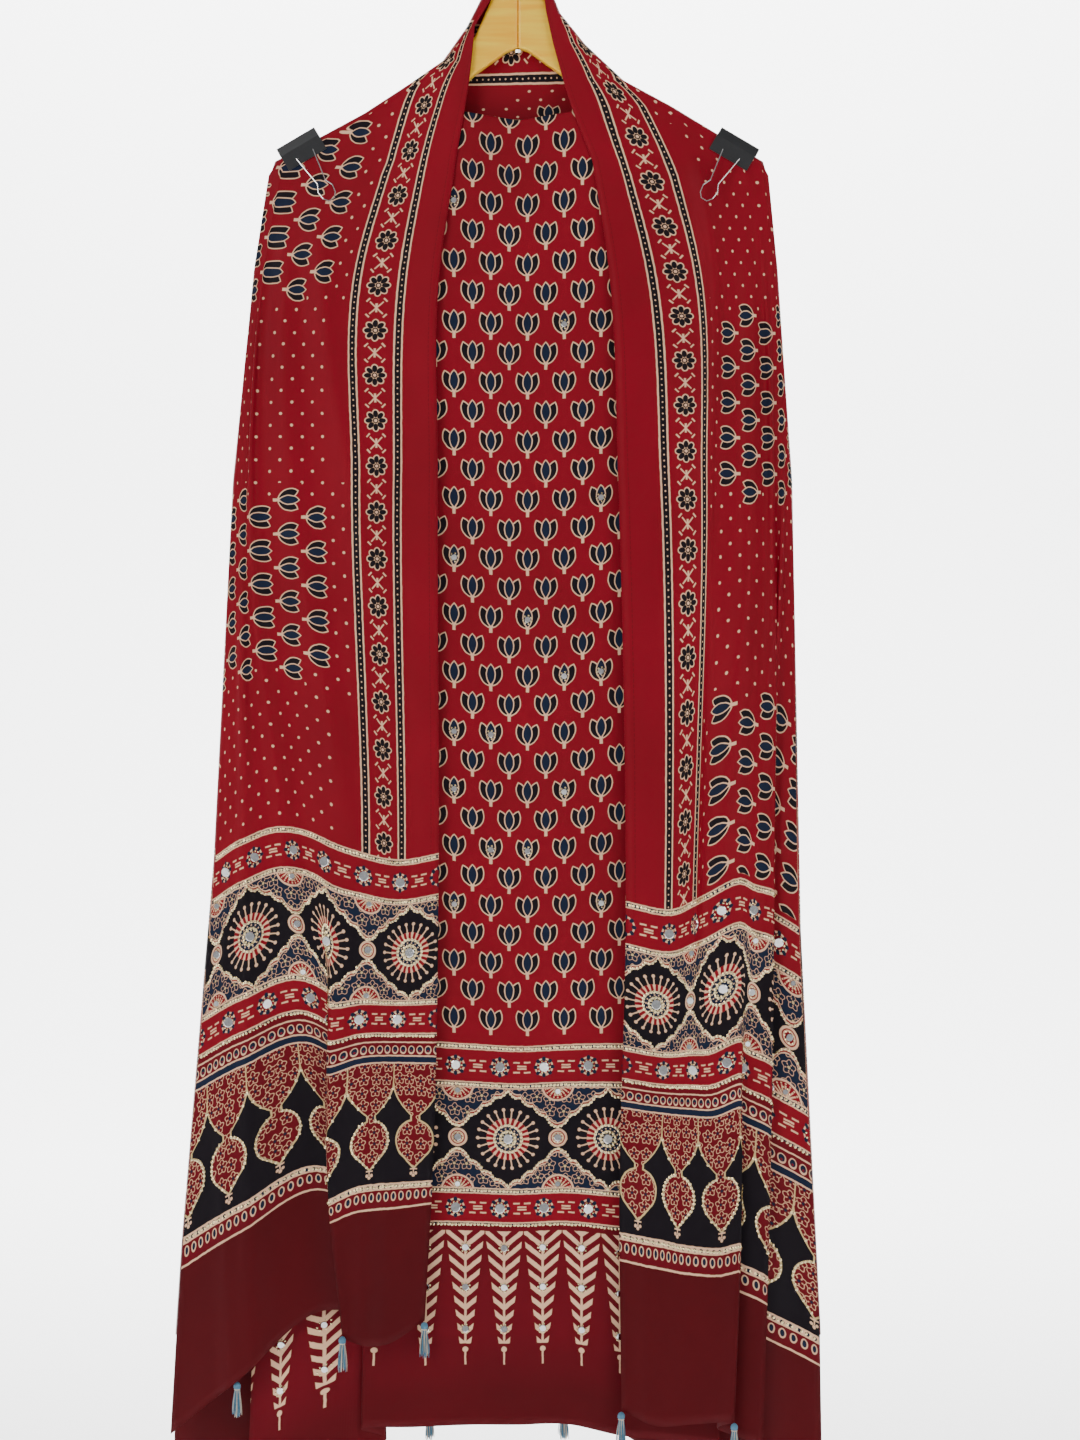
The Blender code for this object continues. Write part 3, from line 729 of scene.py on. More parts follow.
def rosette_band(paint, along, height, low, high):
    """A black band of big rosettes under cusped arches that reach in from both of its edges."""
    middle = (low + high) / 2
    inside = fill(bar(height - middle, (high - low) / 2))
    paint.lay(inside, BLACK)
    x = repeat(along, BAND_PITCH)
    half = repeat(along, BAND_PITCH, BAND_PITCH / 2)
    y = height - middle
    edge = (high - low) / 2 - abs(y)
    ragged = abs((along * (8 * math.pi / BAND_PITCH)).math("SINE")) * RAGGED
    arch = edge - arch_height(half) - ragged
    in_arch = inside * fill(arch)
    fan = length(half, edge)
    paint.lay(in_arch, RED)
    paint.stamp(in_arch, arch + 0.0030, NAVY)
    curls, eyes = net(along, height, 0.0130)
    paint.lay(in_arch * fill(arch + 0.0030) * fill(curls + 0.0002, 0.0004), LACE_CREAM)
    paint.stamp(in_arch, eyes, GOLD)
    paint.stamp(inside, abs(arch + 0.0030) - 0.0006, CREAM)
    paint.stamp(in_arch, fan - 0.0150, RED)
    paint.ring(in_arch, fan, 0.0146, 0.0009, CREAM)
    reach, sideways = spokes(half, edge, 20)
    paint.stamp(in_arch, box(reach - 0.0078, sideways, 0.0030, 0.0006), CREAM)
    paint.stamp(in_arch, disc(reach - 0.0122, sideways, 0.0007), CREAM)
    paint.ring(in_arch, fan, 0.0042, 0.0008, CREAM)
    paint.stamp(inside, abs(arch) - 0.0010, CREAM)
    far = length(x, y)
    wheel = inside * fill(far - 0.0300)
    reach, sideways = spokes(x, y, 22)
    paint.stamp(wheel, box(reach - 0.0225, sideways, 0.0055, 0.0006), CREAM)
    paint.stamp(wheel, disc(reach - 0.0282, sideways, 0.0016), CREAM)
    reach, sideways = spokes(x, y, 22, math.pi / 22)
    paint.stamp(wheel, far - 0.0200, CREAM)
    paint.stamp(wheel, box(reach - 0.0168, sideways, 0.0034, 0.0014), RED)
    paint.stamp(wheel, far - 0.0128, NAVY)
    paint.ring(wheel, far, 0.0128, 0.0008, CREAM)
    reach, sideways = spokes(x, y, 14)
    paint.stamp(wheel, disc(reach - 0.0098, sideways, 0.0007), CREAM)
    paint.ring(wheel, far, 0.0072, 0.0008, GOLD)
    small = length(half, y)
    paint.stamp(inside, small - 0.0078, RED)
    paint.ring(inside, small, 0.0078, 0.0010, CREAM)
    paint.ring(inside, small, 0.0050, 0.0007, CREAM)


def mirror_band(paint, along, height, low, high):
    """Short cream dashes and ringed spots between two edge stripes."""
    middle = (low + high) / 2
    inside = fill(bar(height - middle, (high - low) / 2))
    paint.lay(inside, RED)
    y = height - middle
    x = repeat(along, MIRROR_PITCH)
    paint.ring(inside, length(x, y), 0.0078, 0.0008, CREAM)
    reach, sideways = spokes(x, y, 8)
    paint.stamp(inside, oval(reach - 0.0078, sideways, 0.0022, 0.0018), NAVY)
    half = repeat(along, MIRROR_PITCH, MIRROR_PITCH / 2)
    paint.stamp(inside, box(abs(half) - 0.0050, abs(y) - 0.0048, 0.0030, 0.0007), CREAM)
    paint.stamp(inside, box(half, abs(y) - 0.0012, 0.0042, 0.0007), CREAM)
    for half_width, colour in ((0.0029, CREAM), (0.0016, NAVY)):
        stripes = least(bar(height - low, half_width), bar(height - high, half_width))
        paint.lay(fill(stripes), colour)
    dot = repeat(along, 0.0052)
    paint.lay(fill(least(disc(dot, height - low, 0.0010), disc(dot, height - high, 0.0010))), CREAM)


# %% The shawl's print
LACE_PITCH = 0.047
LACE_START = 0.020
BULB = 0.0190
BULB_UP = 0.1785
NECK_UP = 0.202
NECK_LONG = 0.034
NECK_HALF = 0.0042
NECK_FLARE = 0.0196
SHAWL_BAND = (0.313, 0.413)


def print_shawl(tree, s, v):
    """s runs from the inner edge, v from the left end to the right end."""
    t = HALF_LENGTH - abs(v - HALF_LENGTH)
    paint = Print(tree, RED)
    field = fill(0.092 - s) * fill(0.458 - t)
    column = row_number(s, 0.027, 0.122)
    lotus_s = repeat(s, 0.027, 0.122)
    lotus_t = repeat(v + (column % 2.0) * 0.0165, 0.033)
    block_s, block_v = s - lotus_s - 0.10, v - lotus_t - 0.066
    tile = (block_v / 0.18).math("FLOOR") + (block_s / 0.19).math("FLOOR")
    is_lotus = tile % 2.0
    across_row = row_number(s, 0.0104)
    dot_t = repeat(v + (across_row % 2.0) * 0.01085, 0.0217)
    dots = disc(repeat(s, 0.0104), dot_t, 0.0014)
    paint.lay(field * (1.0 - is_lotus) * fill(dots), CREAM)
    cream, dark, heart = lotus(lotus_s, lotus_t)
    buds = field * is_lotus * (block_s > 0.0)
    paint.stamp(buds, cream, CREAM)
    paint.stamp(buds, dark, BLACK)
    paint.stamp(buds, heart, NAVY)
    paint.lay(fill(abs(s - 0.0085) - 0.0003) * fill(abs(repeat(v, 0.0042)) - 0.0015), DEEP_RED)
    paint.lay(fill(t - 0.118), HEM_RED_AND_SHADE)
    beyond = fill(0.452 - t)
    x = s - 0.0605
    cream, dark = small_flower(x, repeat(v, 0.0425))
    paint.stamp(beyond, cream, CREAM)
    paint.stamp(beyond, dark, BLACK)
    paint.stamp(beyond, spider(x, repeat(v, 0.0425, 0.02125)), CREAM)
    for centre in (0.040, 0.081):
        paint.stamp(beyond, bar(s - centre, 0.0045), CREAM)
        paint.stamp(beyond, bar(s - centre, 0.0029), BLACK)
        paint.stamp(beyond, disc(s - centre, repeat(v, 0.0054), 0.0007), CREAM)
    rosette_band(paint, s - 0.030, t, *SHAWL_BAND)
    mirror_band(paint, s, t, 0.413, 0.451)
    mirror_band(paint, s, t, 0.280, 0.313)
    lace = fill(bar(t - 0.208, 0.072))
    paint.lay(lace, BLACK)
    x = repeat(s, LACE_PITCH, LACE_START)
    climb = ((t - NECK_UP) / NECK_LONG).math("MAXIMUM", 0.0).math("MINIMUM", 1.0)
    flare = 1.0 - (1.0 - climb) * (1.0 - climb)
    neck = most(abs(x) - flare * NECK_FLARE - NECK_HALF, 0.186 - t)
    ball = disc(x, t - BULB_UP, BULB)
    point = most((abs(x) + abs(t - BULB_UP)) * 0.7071 - BULB, t - BULB_UP + BULB * 0.7071)
    pendant = least(neck, least(ball, point))
    shape = lace * fill(pendant)
    paint.lay(shape, DEEP_RED)
    curls, eyes = net(s, t, 0.0124)
    paint.lay(shape * fill(curls + 0.0001, 0.0004), LACE_CREAM)
    paint.stamp(shape, eyes, NAVY)
    paint.stamp(lace, abs(pendant) - 0.0008, GOLD)
    foot = least(box(x, t - 0.1510, 0.0036, 0.0006), box(x, t - 0.1490, 0.0005, 0.0022))
    foot = least(foot, least(disc(abs(x) - 0.0024, t - 0.1470, 0.0014), disc(x, t - 0.1450, 0.0015)))
    paint.stamp(lace, foot, CREAM)
    rows = fill(bar(t - 0.2675, 0.0125))
    paint.lay(rows, DEEP_RED)
    shoe = repeat(s, 0.0086)
    paint.stamp(rows, oval(shoe, t - 0.2660, 0.0034, 0.0042), CREAM)
    paint.stamp(rows, oval(shoe, t - 0.2664, 0.0025, 0.0030), NAVY)
    paint.stamp(rows, disc(shoe, t - 0.2652, 0.0009), RED)
    paint.lay(fill(bar(t - 0.2565, 0.0028)), NAVY)
    for line in (0.2530, 0.2600, 0.2735):
        paint.lay(fill(abs(t - line) - 0.0007), CREAM)
    paint.lay(fill(bar(t - 0.136, 0.0032)), CREAM)
    paint.lay(fill(disc(repeat(s, 0.0062), t - 0.136, 0.0017)), NAVY)
    paint.lay(fill(bar(t - 0.1255, 0.0075)), DEEP_RED)
    paint.lay(fill(oval(repeat(s, 0.0080), t - 0.1270, 0.0027, 0.0042)), CREAM)
    paint.lay(fill(oval(repeat(s, 0.0080), t - 0.1272, 0.0017, 0.0030)), NAVY)
    paint.lay(fill(abs(t - 0.1165) - 0.0009), CREAM)
    return paint


# %% The dress length's print
BUD_PITCH = 0.0345
BUD_START = 0.009
BUD_ROW = 0.0272
FIRST_BUDS = 0.388
FERN_PITCH = 0.0363
FERN_START = -0.0130
DRESS_BAND = (0.2245, 0.326)


def print_dress(tree, w, h):
    """w runs across from the middle, h up from the front hem and on down the rear."""
    height = KAMEEZ_LENGTH - abs(h - KAMEEZ_LENGTH)
    paint = Print(tree, RED)
    field = fill(0.3740 - height)
    row = row_number(height, BUD_ROW, FIRST_BUDS)
    column = repeat(w + (row % 2.0) * (BUD_PITCH / 2), BUD_PITCH, BUD_START)
    cream, dark, heart = lotus(-repeat(height, BUD_ROW, FIRST_BUDS), column)
    paint.stamp(field, cream, CREAM)
    paint.stamp(field, dark, BLACK)
    paint.stamp(field, heart, NAVY)
    rosette_band(paint, w + 0.0095, height, *DRESS_BAND)
    mirror_band(paint, w + 0.0170, height, 0.192, DRESS_BAND[0])
    mirror_band(paint, w + 0.0170, height, DRESS_BAND[1], 0.362)
    paint.lay(fill(height - 0.192), DEEP_RED)
    # painted shade: the dress length darkens towards its hem, from 9 cm above it to its strongest at 3 cm
    paint.lay(fill(height - 0.060, 0.060) * 0.8, HEM_RED_AND_SHADE)
    x = repeat(w, FERN_PITCH, FERN_START)
    rise = (height - 0.078) / 0.108
    width = 0.0052 + 0.0125 * rise
    leaf = ((height - abs(x) * 0.85) / 0.0118) % 1.0
    leaves = most(abs(leaf - 0.5) * 0.0118 - 0.0027, abs(x) - width)
    leaves = least(leaves, abs(x) - 0.0010)
    fern = fill(leaves) * fill(bar(height - 0.132, 0.054))
    tip = least(disc(x, height - 0.0725, 0.0026), box(x, height - 0.064, 0.0008, 0.0060))
    paint.lay(most(fern, fill(tip)), CREAM)
    return paint


# %% [markdown]
# The cloth itself is a soft satin: a fine weave in the bump, a broad unevenness in the dye, and a
# little sheen. Sheen stays one number for the whole cloth, as the export keeps only such a value.

# %% Cloth material
def flat_coordinates(tree):
    spot = read_node(tree, "ShaderNodeUVMap", {}, uv_map="cloth")
    parts = add_node(tree, "ShaderNodeSeparateXYZ", {}, [spot])
    return Value(tree, parts.outputs[0]), Value(tree, parts.outputs[1])


def noise(tree, vector, scale, detail=2.0):
    values = {"Vector": vector, "Scale": scale, "Detail": detail}
    return read_node(tree, "ShaderNodeTexNoise", values, "Fac")


def bump(tree, strength, distance, height):
    return read_node(tree, "ShaderNodeBump", {
        "Strength": strength, "Distance": distance, "Height": height})


def new_material(name):
    material = bpy.data.materials.new(name)
    material.use_nodes = True
    return material, material.node_tree, material.node_tree.nodes["Principled BSDF"]


def cloth_material(name, printer, roughness):
    material, tree, shader = new_material(name)
    first, second = flat_coordinates(tree)
    spot = read_node(tree, "ShaderNodeCombineXYZ", [first, second])
    wobble = noise(tree, spot, 160.0) - 0.5
    wander = noise(tree, spot, 190.0, 1.0) - 0.5
    paint = printer(tree, first + wobble * 0.0010, second + wander * 0.0010)
    dye = noise(tree, spot, 7.0, 4.0)
    dull = (0.62 - dye).math("MAXIMUM", 0.0) * 1.3
    darker = mix(tree, dull, paint.colour, (0.62, 0.52, 0.58), "MULTIPLY")
    slub = noise(tree, spot, 900.0, 1.0)
    thin = (slub - 0.35).math("MAXIMUM", 0.0) * 0.55
    weave = ((first * 9000.0).math("SINE") + (second * 9000.0).math("SINE")) * 0.25 + slub * 0.8
    set_inputs(tree, shader, {
        "Base Color": mix(tree, thin, darker, (0.72, 0.70, 0.72), "MULTIPLY"),
        "Roughness": noise(tree, spot, 30.0) * 0.16 + (roughness - 0.08),
        "Normal": bump(tree, 0.25, 0.0003, weave),
        "Sheen Weight": 0.02, "Sheen Roughness": 0.4, "Specular IOR Level": 0.13})
    print(name, "nodes", len(tree.nodes))
    return material


shawl.data.materials.append(cloth_material("shawl_print", print_shawl, 0.52))
dress.data.materials.append(cloth_material("dress_print", print_dress, 0.55))

# %% [markdown]
# The hanger is pale lacquered wood with its grain along each arm. The wire is bright, the clips are
# black coated steel, and the tassels are yarn in two colours.

# %% Hard finishes
def wood_material(name, tilt):
    material, tree, shader = new_material(name)
    spot = read_node(tree, "ShaderNodeTexCoord", {}, "Object")
    turned = read_node(tree, "ShaderNodeMapping", {
        "Vector": spot, "Rotation": (0.0, tilt, 0.0), "Scale": (6.0, 60.0, 90.0)})
    grain = noise(tree, turned, 1.6, 6.0)
    broad = noise(tree, spot, 9.0, 2.0)
    ramp = add_node(tree, "ShaderNodeValToRGB", {}, {0: grain * 0.75 + broad * 0.25})
    stops = ((0.34, (0.95, 0.42, 0.014, 1.0)), (0.60, (1.00, 0.64, 0.045, 1.0)))
    for element, (position, colour) in zip(ramp.color_ramp.elements, stops):
        element.position = position
        element.color = colour
    set_inputs(tree, shader, {
        "Base Color": Value(tree, ramp.outputs[0]), "Roughness": 0.30 + grain * 0.2,
        "Normal": bump(tree, 0.2, 0.0004, grain), "Coat Weight": 0.1, "Specular IOR Level": 0.25})
    return material


def plain_material(name, colour, rough, metal, scratch):
    material, tree, shader = new_material(name)
    marks = noise(tree, read_node(tree, "ShaderNodeTexCoord", {}, "Object"), 420.0, 3.0)
    tone = mix(tree, marks, [c * 0.7 for c in colour], [min(c * 1.3, 1.0) for c in colour])
    set_inputs(tree, shader, {
        "Base Color": tone, "Roughness": marks * scratch + (rough - scratch / 2), "Metallic": metal})
    return material


def dress_node(name, material):
    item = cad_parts[name]
    item.data.materials.clear()
    item.data.materials.append(material)


WIRE = plain_material("bright_wire", (0.72, 0.71, 0.69), 0.24, 1.0, 0.12)
CLIP = plain_material("clip_black", (0.014, 0.014, 0.015), 0.42, 0.0, 0.2)
dress_node("hanger_arm_left", wood_material("wood_left", math.radians(-30)))
dress_node("hanger_arm_right", wood_material("wood_right", math.radians(30)))
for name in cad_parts:
    if name.startswith("hook") or "handle" in name:
        dress_node(name, WIRE)
    elif name.startswith("clip"):
        dress_node(name, CLIP)

# %% [markdown]
# Mirrors, sequins and couched gold thread stand on the cloth; the mirrors and sequins are real small
# pieces. Each is placed by the same flat coordinates as the print, and turned to the slope of the cloth
# there.
# Thousands of loose objects would be slow, so each kind is gathered into one mesh.

# %% Find a place on the cloth
STEP = 0.002


def between(table, row, column):
    """A point between the four nearest points of a table."""
    row = min(max(row, 0.0), len(table) - 1.001)
    column = min(max(column, 0.0), len(table[0]) - 1.001)
    r, c = int(row), int(column)
    p, q = row - r, column - c
    upper = table[r, c] * (1 - q) + table[r, c + 1] * q
    lower = table[r + 1, c] * (1 - q) + table[r + 1, c + 1] * q
    return upper * (1 - p) + lower * p


FRONT_ROWS = 240
FRONT_TABLES = {}
for side, rows in FOLDS.items():
    places = np.linspace(0.0, rows[-1]["s"], 90)
    depths = np.linspace(0.0, FRONT_LENGTH, FRONT_ROWS + 1)
    FRONT_TABLES[side] = np.array([front_places(side, places, depth) for depth in depths])
DRESS_TABLE = np.array([kameez_row(k / KAMEEZ_ROWS, False)[0] for k in range(KAMEEZ_ROWS + 1)])


def shawl_point(side, s, t):
    """The point of one end of the shawl at a flat place across, s, and up from its end, t."""
    depth = FRONT_LENGTH - t
    reach = TIP_S + depth * math.tan(FAN_START)
    if s <= reach:
        last = FOLDS[side][-1]["s"]
        across = s if s < PLEAT_S else PLEAT_S + (s - PLEAT_S) * (last - PLEAT_S) / (reach - PLEAT_S)
        table = FRONT_TABLES[side]
        return between(table, depth / FRONT_LENGTH * FRONT_ROWS, across / last * (len(table[0]) - 1))
    away = math.hypot(s - TIP_S, depth)
    turn = (math.atan2(s - TIP_S, depth) - FAN_START) / ((FAN_END - FAN_START) / FAN_RUNS)
    turn = min(max(turn, 0.0), FAN_RUNS - 0.001)
    fold, part = int(turn), turn - int(turn)
    angle = FAN_START + turn * (FAN_END - FAN_START) / FAN_RUNS
    column = {"angle": angle, "layer": fold + 1.0, "inner": abs(fold % 2 - part), "bulge": 0.0}
    return np.array(fan_place(side, column, away)[0])


def dress_point(side, w, height):
    low, high = KAMEEZ_FOLDS[0]["w"], KAMEEZ_FOLDS[-1]["w"]
    column = (w - low) / (high - low) * (KAMEEZ_COLUMNS - 1)
    return between(DRESS_TABLE, (1.0 - height / KAMEEZ_LENGTH) * KAMEEZ_ROWS, column)


def seat(finder, side, across, up):
    """Place, outward direction and two directions in the cloth, for a flat place."""
    here = finder(side, across, up)
    right = finder(side, across + STEP, up) - here
    rise = finder(side, across, up + STEP) - here
    right = right / max(np.linalg.norm(right), 1e-9)
    out = np.cross(right, rise)
    out = out / max(np.linalg.norm(out), 1e-9)
    if side == "left":
        out = -out
    rise = np.cross(out, right)
    return here + out * (CLOTH_THICK / 2), out, right, rise


# %% Gather small pieces into one mesh
class Gathered:
    """Vertices and faces of many like pieces."""

    def __init__(self):
        self.verts = []
        self.faces = []

    def ring(self, centre, right, rise, radius, sides):
        for k in range(sides):
            turn = 2 * math.pi * k / sides
            way = right * math.cos(turn) + rise * math.sin(turn)
            self.verts.append(tuple(centre + way * radius))

    def skin(self, base, sides, rings):
        """Join rings of corners, each to the next, and close both ends."""
        last = base + (rings - 1) * sides
        for a in range(base, last, sides):
            for k in range(sides):
                n = (k + 1) % sides
                self.faces.append((a + k, a + n, a + sides + n, a + sides + k))
        self.faces.append(tuple(base + k for k in reversed(range(sides))))
        self.faces.append(tuple(last + k for k in range(sides)))

    def lens(self, spot, radius, high, sides):
        here, out, right, rise = spot
        base = len(self.verts)
        self.verts.append(tuple(here + out * high))
        self.verts.append(tuple(here + out * high * 0.1))
        self.ring(here + out * high * 0.4, right, rise, radius, sides)
        for k in range(sides):
            n = (k + 1) % sides
            self.faces.append((base, base + 2 + k, base + 2 + n))
            self.faces.append((base + 1, base + 2 + n, base + 2 + k))

    def button(self, spot, radius, high, sides):
        """A flat topped disc with a small rounded edge."""
        here, out, right, rise = spot
        base = len(self.verts)
        for share, level in ((0.96, 0.1), (1.0, 0.6), (0.86, 1.0)):
            self.ring(here + out * high * level, right, rise, radius * share, sides)
        self.skin(base, sides, 3)

    def build(self, name, material):
        mesh = bpy.data.meshes.new(name)
        mesh.from_pydata(self.verts, [], self.faces)
        shape = bmesh.new()
        shape.from_mesh(mesh)
        bmesh.ops.recalc_face_normals(shape, faces=shape.faces[:])
        shape.to_mesh(mesh)
        shape.free()
        mesh.materials.append(material)
        item = bpy.data.objects.new(name, mesh)
        bpy.context.collection.objects.link(item)
        print(name, "faces", len(mesh.polygons))
        return item


# %% Where the sequins and mirrors go
SEQUIN_PITCH = 0.0034
dice = random.Random(11)


def band_line(low, high):
    """Flat places along the two cusped arch lines of a rosette band."""
    middle, half = (low + high) / 2, (high - low) / 2

    def place(along, sign):
        from_tip = along % BAND_PITCH - BAND_PITCH / 2
        ragged = abs(math.sin(along * 8 * math.pi / BAND_PITCH)) * RAGGED
        return middle + sign * (half - arch_height(from_tip) - ragged)
    return place


def line_places(start, end, height_at):
    """Flat places at an even pitch along a line, told as a height for each place along."""
    places = []
    along = start
    while along < end:
        up = height_at(along)
        slope = (height_at(along + 0.0005) - up) / 0.0005
        places.append((along, up))
        along += SEQUIN_PITCH / math.hypot(1.0, slope)
    return places


def ring_places(along, up, radius, low=-math.pi, high=math.pi):
    count = max(6, int(radius * (high - low) / SEQUIN_PITCH))
    angles = [low + (high - low) * k / count for k in range(count)]
    return [(along + radius * math.cos(a), up + radius * math.sin(a)) for a in angles]


def band_trim(start, end, offset, low, high, stripes, mirror_rows):
    """Sequins and mirrors of a rosette band, its stripes and its mirror rows."""
    sequins, mirrors = [], []
    middle = (low + high) / 2
    arch = band_line(low, high)
    for sign in (-1, 1):
        line = line_places(start + offset, end + offset, lambda a: arch(a, sign))
        sequins += [(a - offset, up) for a, up in line]
    for stripe in stripes:
        sequins += line_places(start, end, lambda a: stripe)
    for k in range(-12, 13):
        along = k * BAND_PITCH - offset
        if start + 0.012 < along < end - 0.012:
            sequins += ring_places(along, middle, 0.0128) + ring_places(along, middle, 0.0072)
            mirrors.append((along, middle, 0.0046))
        half = along + BAND_PITCH / 2
        if start + 0.01 < half < end - 0.01:
            mirrors.append((half, middle, 0.0036))
            for sign in (-1, 1):
                mirrors.append((half, middle + sign * ((high - low) / 2 - 0.006), 0.0028))
    for row, shift in mirror_rows:
        for k in range(-24, 25):
            along = k * MIRROR_PITCH + shift
            if start + 0.008 < along < end - 0.008:
                mirrors.append((along, row, 0.0047))
    return sequins, mirrors


def pendant_places(start, end):
    """The gold outline of each hanging bulb of the shawl's lace."""
    places = []
    for k in range(0, 22):
        along = LACE_START + k * LACE_PITCH
        if start + 0.02 < along < end - 0.02:
            places += ring_places(along, BULB_UP, BULB, math.radians(-45), math.radians(75))
            places += ring_places(along, BULB_UP, BULB, math.radians(105), math.radians(225))
            for sign in (-1, 1):
                for p in (0.25, 0.5, 0.75):
                    corner = BULB * 0.7071
                    places.append((along + sign * corner * (1 - p), BULB_UP - corner * (1 + p)))
                    flare = 1 - (1 - p) ** 2
                    over = NECK_HALF + NECK_FLARE * flare
                    places.append((along + sign * over, NECK_UP + NECK_LONG * p))
    return places


# %% Sew them on
def keep_on(places, low, high):
    return [p for p in places if low < p[0] < high]


def trim(name, finder, sides, sequins, mirrors, gold, glass):
    small, large = Gathered(), Gathered()
    for side in sides:
        for along, up in sequins:
            jitter = dice.uniform(-0.0004, 0.0004)
            spot = seat(finder, side, along + jitter, up + jitter)
            small.lens(spot, dice.uniform(0.0013, 0.0017), 0.0008, 6)
        for along, up, radius in mirrors:
            here, out, right, rise = seat(finder, side, along, up)
            tipped = out + right * dice.uniform(-0.16, 0.16) + rise * dice.uniform(-0.16, 0.16)
            rise = np.cross(tipped, right)
            large.button((here, tipped, np.cross(rise, tipped), rise), radius, 0.0012, 12)
            for a, u in ring_places(along, up, radius + 0.0009):
                small.lens(seat(finder, side, a, u), 0.0010, 0.0010, 5)
    return [small.build(name + "_sequins", gold), large.build(name + "_mirrors", glass)]


GOLD_METAL = plain_material("gold_sequin", (0.78, 0.62, 0.34), 0.26, 1.0, 0.2)
GLASS = plain_material("mirror_glass", (0.86, 0.86, 0.84), 0.07, 1.0, 0.06)
sequins, mirrors = band_trim(0.004, 0.945, -0.030, *SHAWL_BAND, (0.136, 0.280, *SHAWL_BAND, 0.451),
                             ((0.2965, 0.0), (0.432, 0.0)))
sequins += pendant_places(0.0, 0.95)
shawl_trim = trim("shawl", shawl_point, ("left", "right"), sequins, mirrors, GOLD_METAL, GLASS)
sequins, mirrors = band_trim(-0.255, 0.21, 0.0095, *DRESS_BAND, (0.192, *DRESS_BAND, 0.362),
                             ((0.208, -0.0170), (0.344, -0.0170)))
for k in range(-7, 7):
    for up in (0.092, 0.132, 0.170):
        mirrors.append((FERN_START + k * FERN_PITCH, up, 0.0034))
for k in range(26):
    along = round(dice.uniform(-0.14, 0.13) / BUD_PITCH) * BUD_PITCH + BUD_START
    up = FIRST_BUDS + round(dice.uniform(0.0, 0.78) / (2 * BUD_ROW)) * (2 * BUD_ROW)
    mirrors.append((along, up, 0.0030))
dress_trim = trim("dress", dress_point, ("middle",), keep_on(sequins, -0.258, 0.213),
                  keep_on(mirrors, -0.255, 0.21), GOLD_METAL, GLASS)

# %% [markdown]
# A tassel is a bundle of yarn bent over a loop and bound near its top. The solids have a few thick
# locks; here each gets many fine strands that curve out a little, some blue and some cream.

# %% Tassels
STRAND_COUNT = 46
STRAND_STEPS = 5
STRAND_SIDES = 4
X_WAY, Y_WAY = np.eye(3)[:2]


def tube(gathered, route, radius):
    base = len(gathered.verts)
    for k, point in enumerate(route):
        thin = radius * (1.0 if k < len(route) - 1 else 0.6)
        gathered.ring(np.array(point), X_WAY, Y_WAY, thin, STRAND_SIDES)
    gathered.skin(base, STRAND_SIDES, len(route))


def ball(gathered, centre, wide, high, sides=10, rings=5):
    """A bound knot: a squat ball, a little fluted."""
    base = len(gathered.verts)
    x, y, z = centre
    for k in range(rings + 1):
        turn = math.pi * (k + 0.25) / (rings + 0.5)
        for m in range(sides):
            a = 2 * math.pi * m / sides
            far = wide * math.sin(turn) * (1 + 0.06 * (m % 2))
            corner = (x + far * math.cos(a), y + far * math.sin(a), z + high * math.cos(turn))
            gathered.verts.append(corner)
    gathered.skin(base, sides, rings + 1)


def make_tassel(node, blue, cream):
    low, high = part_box(node)
    x, y, top = (low[0] + high[0]) / 2, (low[1] + high[1]) / 2, high[2]
    yarn = {"blue": Gathered(), "cream": Gathered()}
    ball(yarn["blue"], (x, y, top - 0.0045), 0.0034, 0.0042)
    ball(yarn["cream"], (x, y, top - 0.0074), 0.0031, 0.0009, 10, 3)
    drop = top - low[2] - 0.008
    for k in range(STRAND_COUNT):
        turn = k * 2.39996
        start = 0.0024 * math.sqrt((k + 0.5) / STRAND_COUNT)
        spread = start * dice.uniform(1.2, 2.3)
        reach = drop * dice.uniform(0.78, 0.995)
        sway = dice.uniform(-0.0014, 0.0014)
        route = []
        for m in range(STRAND_STEPS + 1):
            p = m / STRAND_STEPS
            far = start + (spread - start) * math.sin(p * math.pi * 0.6)
            route.append((x + far * math.cos(turn) + sway * p, y + far * math.sin(turn),
                          top - 0.008 - reach * p))
        tube(yarn["cream" if k % 3 == 0 else "blue"], route, 0.00034)
    return [yarn["blue"].build(node + "_blue", blue), yarn["cream"].build(node + "_cream", cream)]


BLUE_YARN = plain_material("yarn_blue", (0.075, 0.200, 0.300), 0.8, 0.0, 0.1)
CREAM_YARN = plain_material("yarn_cream", (0.62, 0.52, 0.40), 0.8, 0.0, 0.1)
TASSELS = {}
for name in sorted(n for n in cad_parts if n.startswith("tassel")):
    TASSELS[name] = make_tassel(name, BLUE_YARN, CREAM_YARN)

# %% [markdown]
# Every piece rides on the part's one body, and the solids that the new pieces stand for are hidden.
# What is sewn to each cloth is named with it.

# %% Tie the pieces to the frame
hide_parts("dupatta")
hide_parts("kameez")
for piece in [shawl, dress, *shawl_trim, *dress_trim]:
    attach(piece, "root")
for name, pieces in TASSELS.items():
    for piece in pieces:
        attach(piece, "root")
        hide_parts(name)
KAMEEZ_FOLDS[-1]["w"] - KAMEEZ_FOLDS[0]["w"]

# %% [markdown]
# A pale sweep takes the place of the studio: a floor that curves up into a wall has no horizon line.
# Large area lights from both sides give the even, soft light of a catalogue photograph.

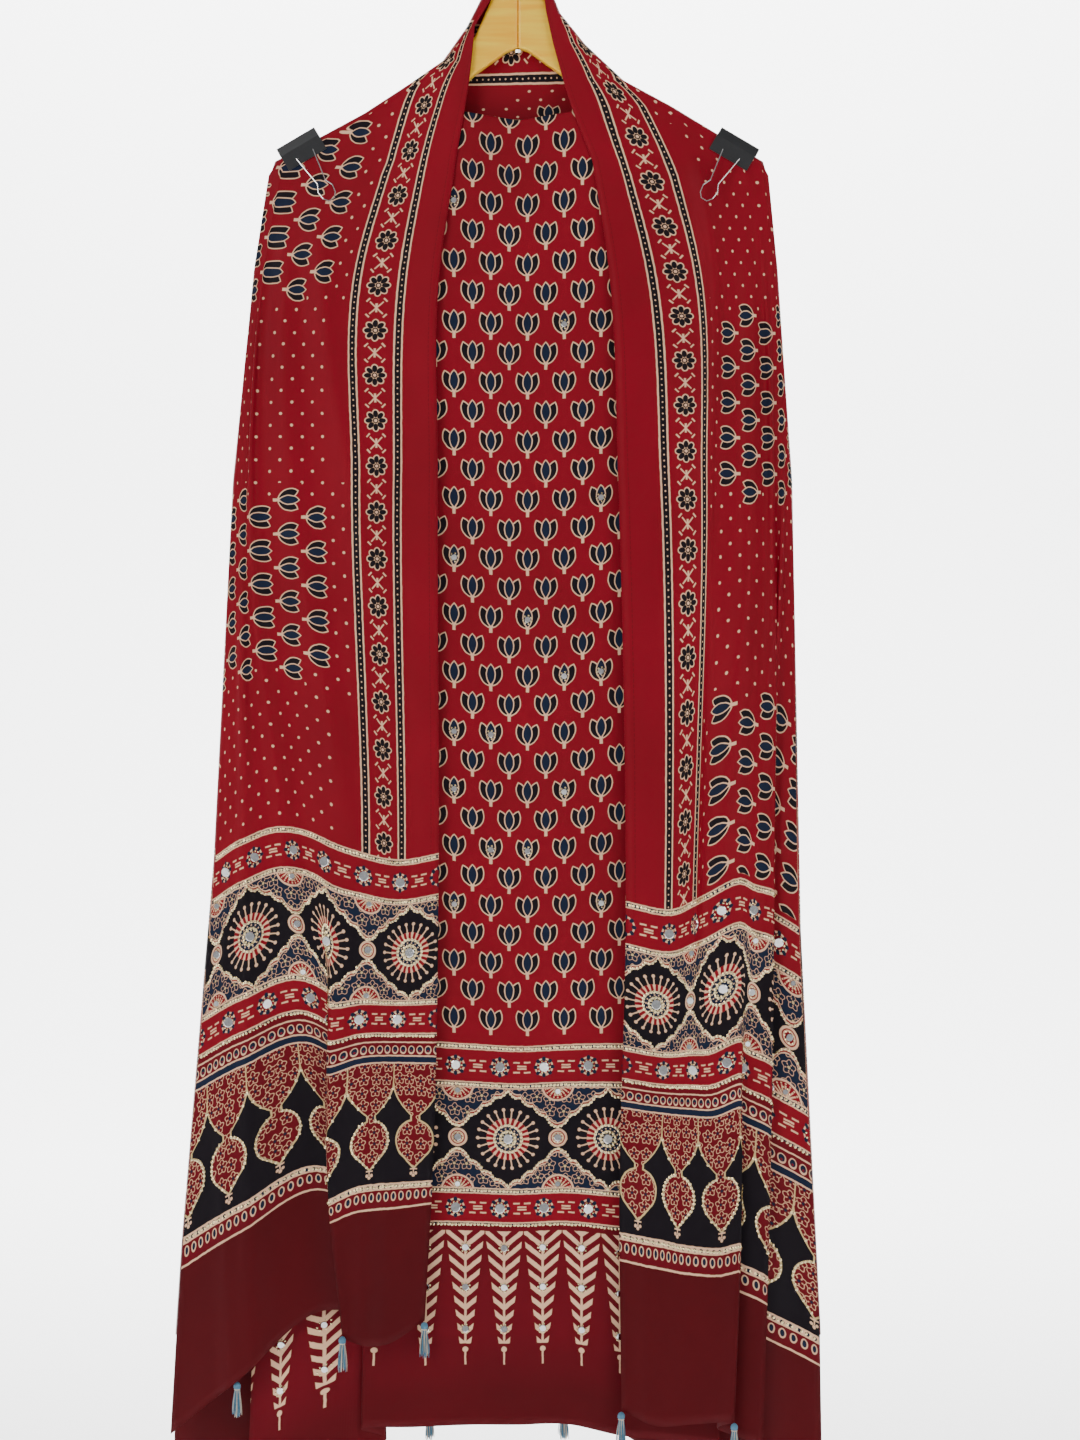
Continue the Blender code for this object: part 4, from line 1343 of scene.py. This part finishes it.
# %% Floor and light
FLOOR_Z = -1.72
WALL_Y = 6.0
BEND = 1.8
HALF_WIDE = 9.0
WALL_TOP = 7.0


def make_sweep():
    outline = [(-WALL_Y, FLOOR_Z), (WALL_Y - BEND, FLOOR_Z)]
    for k in range(1, 13):
        turn = math.pi / 2 * k / 12
        outline.append((WALL_Y - BEND + BEND * math.sin(turn), FLOOR_Z + BEND * (1 - math.cos(turn))))
    outline.append((WALL_Y, WALL_TOP))
    verts = [(x, y, z) for y, z in outline for x in (-HALF_WIDE, HALF_WIDE)]
    faces = [(2 * k, 2 * k + 1, 2 * k + 3, 2 * k + 2) for k in range(len(outline) - 1)]
    mesh = bpy.data.meshes.new("sweep")
    mesh.from_pydata(verts, [], faces)
    mesh.shade_smooth()
    material, tree, shader = new_material("sweep_paper")
    shader.inputs["Base Color"].default_value = (0.98, 0.98, 0.98, 1.0)
    shader.inputs["Roughness"].default_value = 0.9
    mesh.materials.append(material)
    item = bpy.data.objects.new("sweep", mesh)
    bpy.context.collection.objects.link(item)


def area_light(name, place, aim, size, power):
    data = bpy.data.lights.new(name, "AREA")
    data.shape = "RECTANGLE"
    data.size, data.size_y = size
    data.energy = power
    lamp = bpy.data.objects.new(name, data)
    lamp.location = place
    way = np.array(aim) - np.array(place)
    flat = math.hypot(way[0], way[1])
    lamp.rotation_euler = (math.pi / 2 + math.atan2(way[2], flat), 0, math.atan2(-way[0], way[1]))
    bpy.context.collection.objects.link(lamp)


make_sweep()
area_light("key", (-1.9, -2.6, 0.9), (0.0, 0.0, -0.7), (1.3, 2.0), 50.0)
area_light("fill", (2.2, -2.4, 0.2), (0.0, 0.0, -0.8), (1.3, 2.2), 22.0)
area_light("wall", (0.0, 2.9, 3.4), (0.0, 5.6, -0.6), (6.0, 1.2), 1500.0)
world = bpy.data.worlds.new("studio")
world.use_nodes = True
world.node_tree.nodes["Background"].inputs["Color"].default_value = (0.95, 0.96, 1.0, 1.0)
world.node_tree.nodes["Background"].inputs["Strength"].default_value = 0.40
bpy.context.scene.world = world
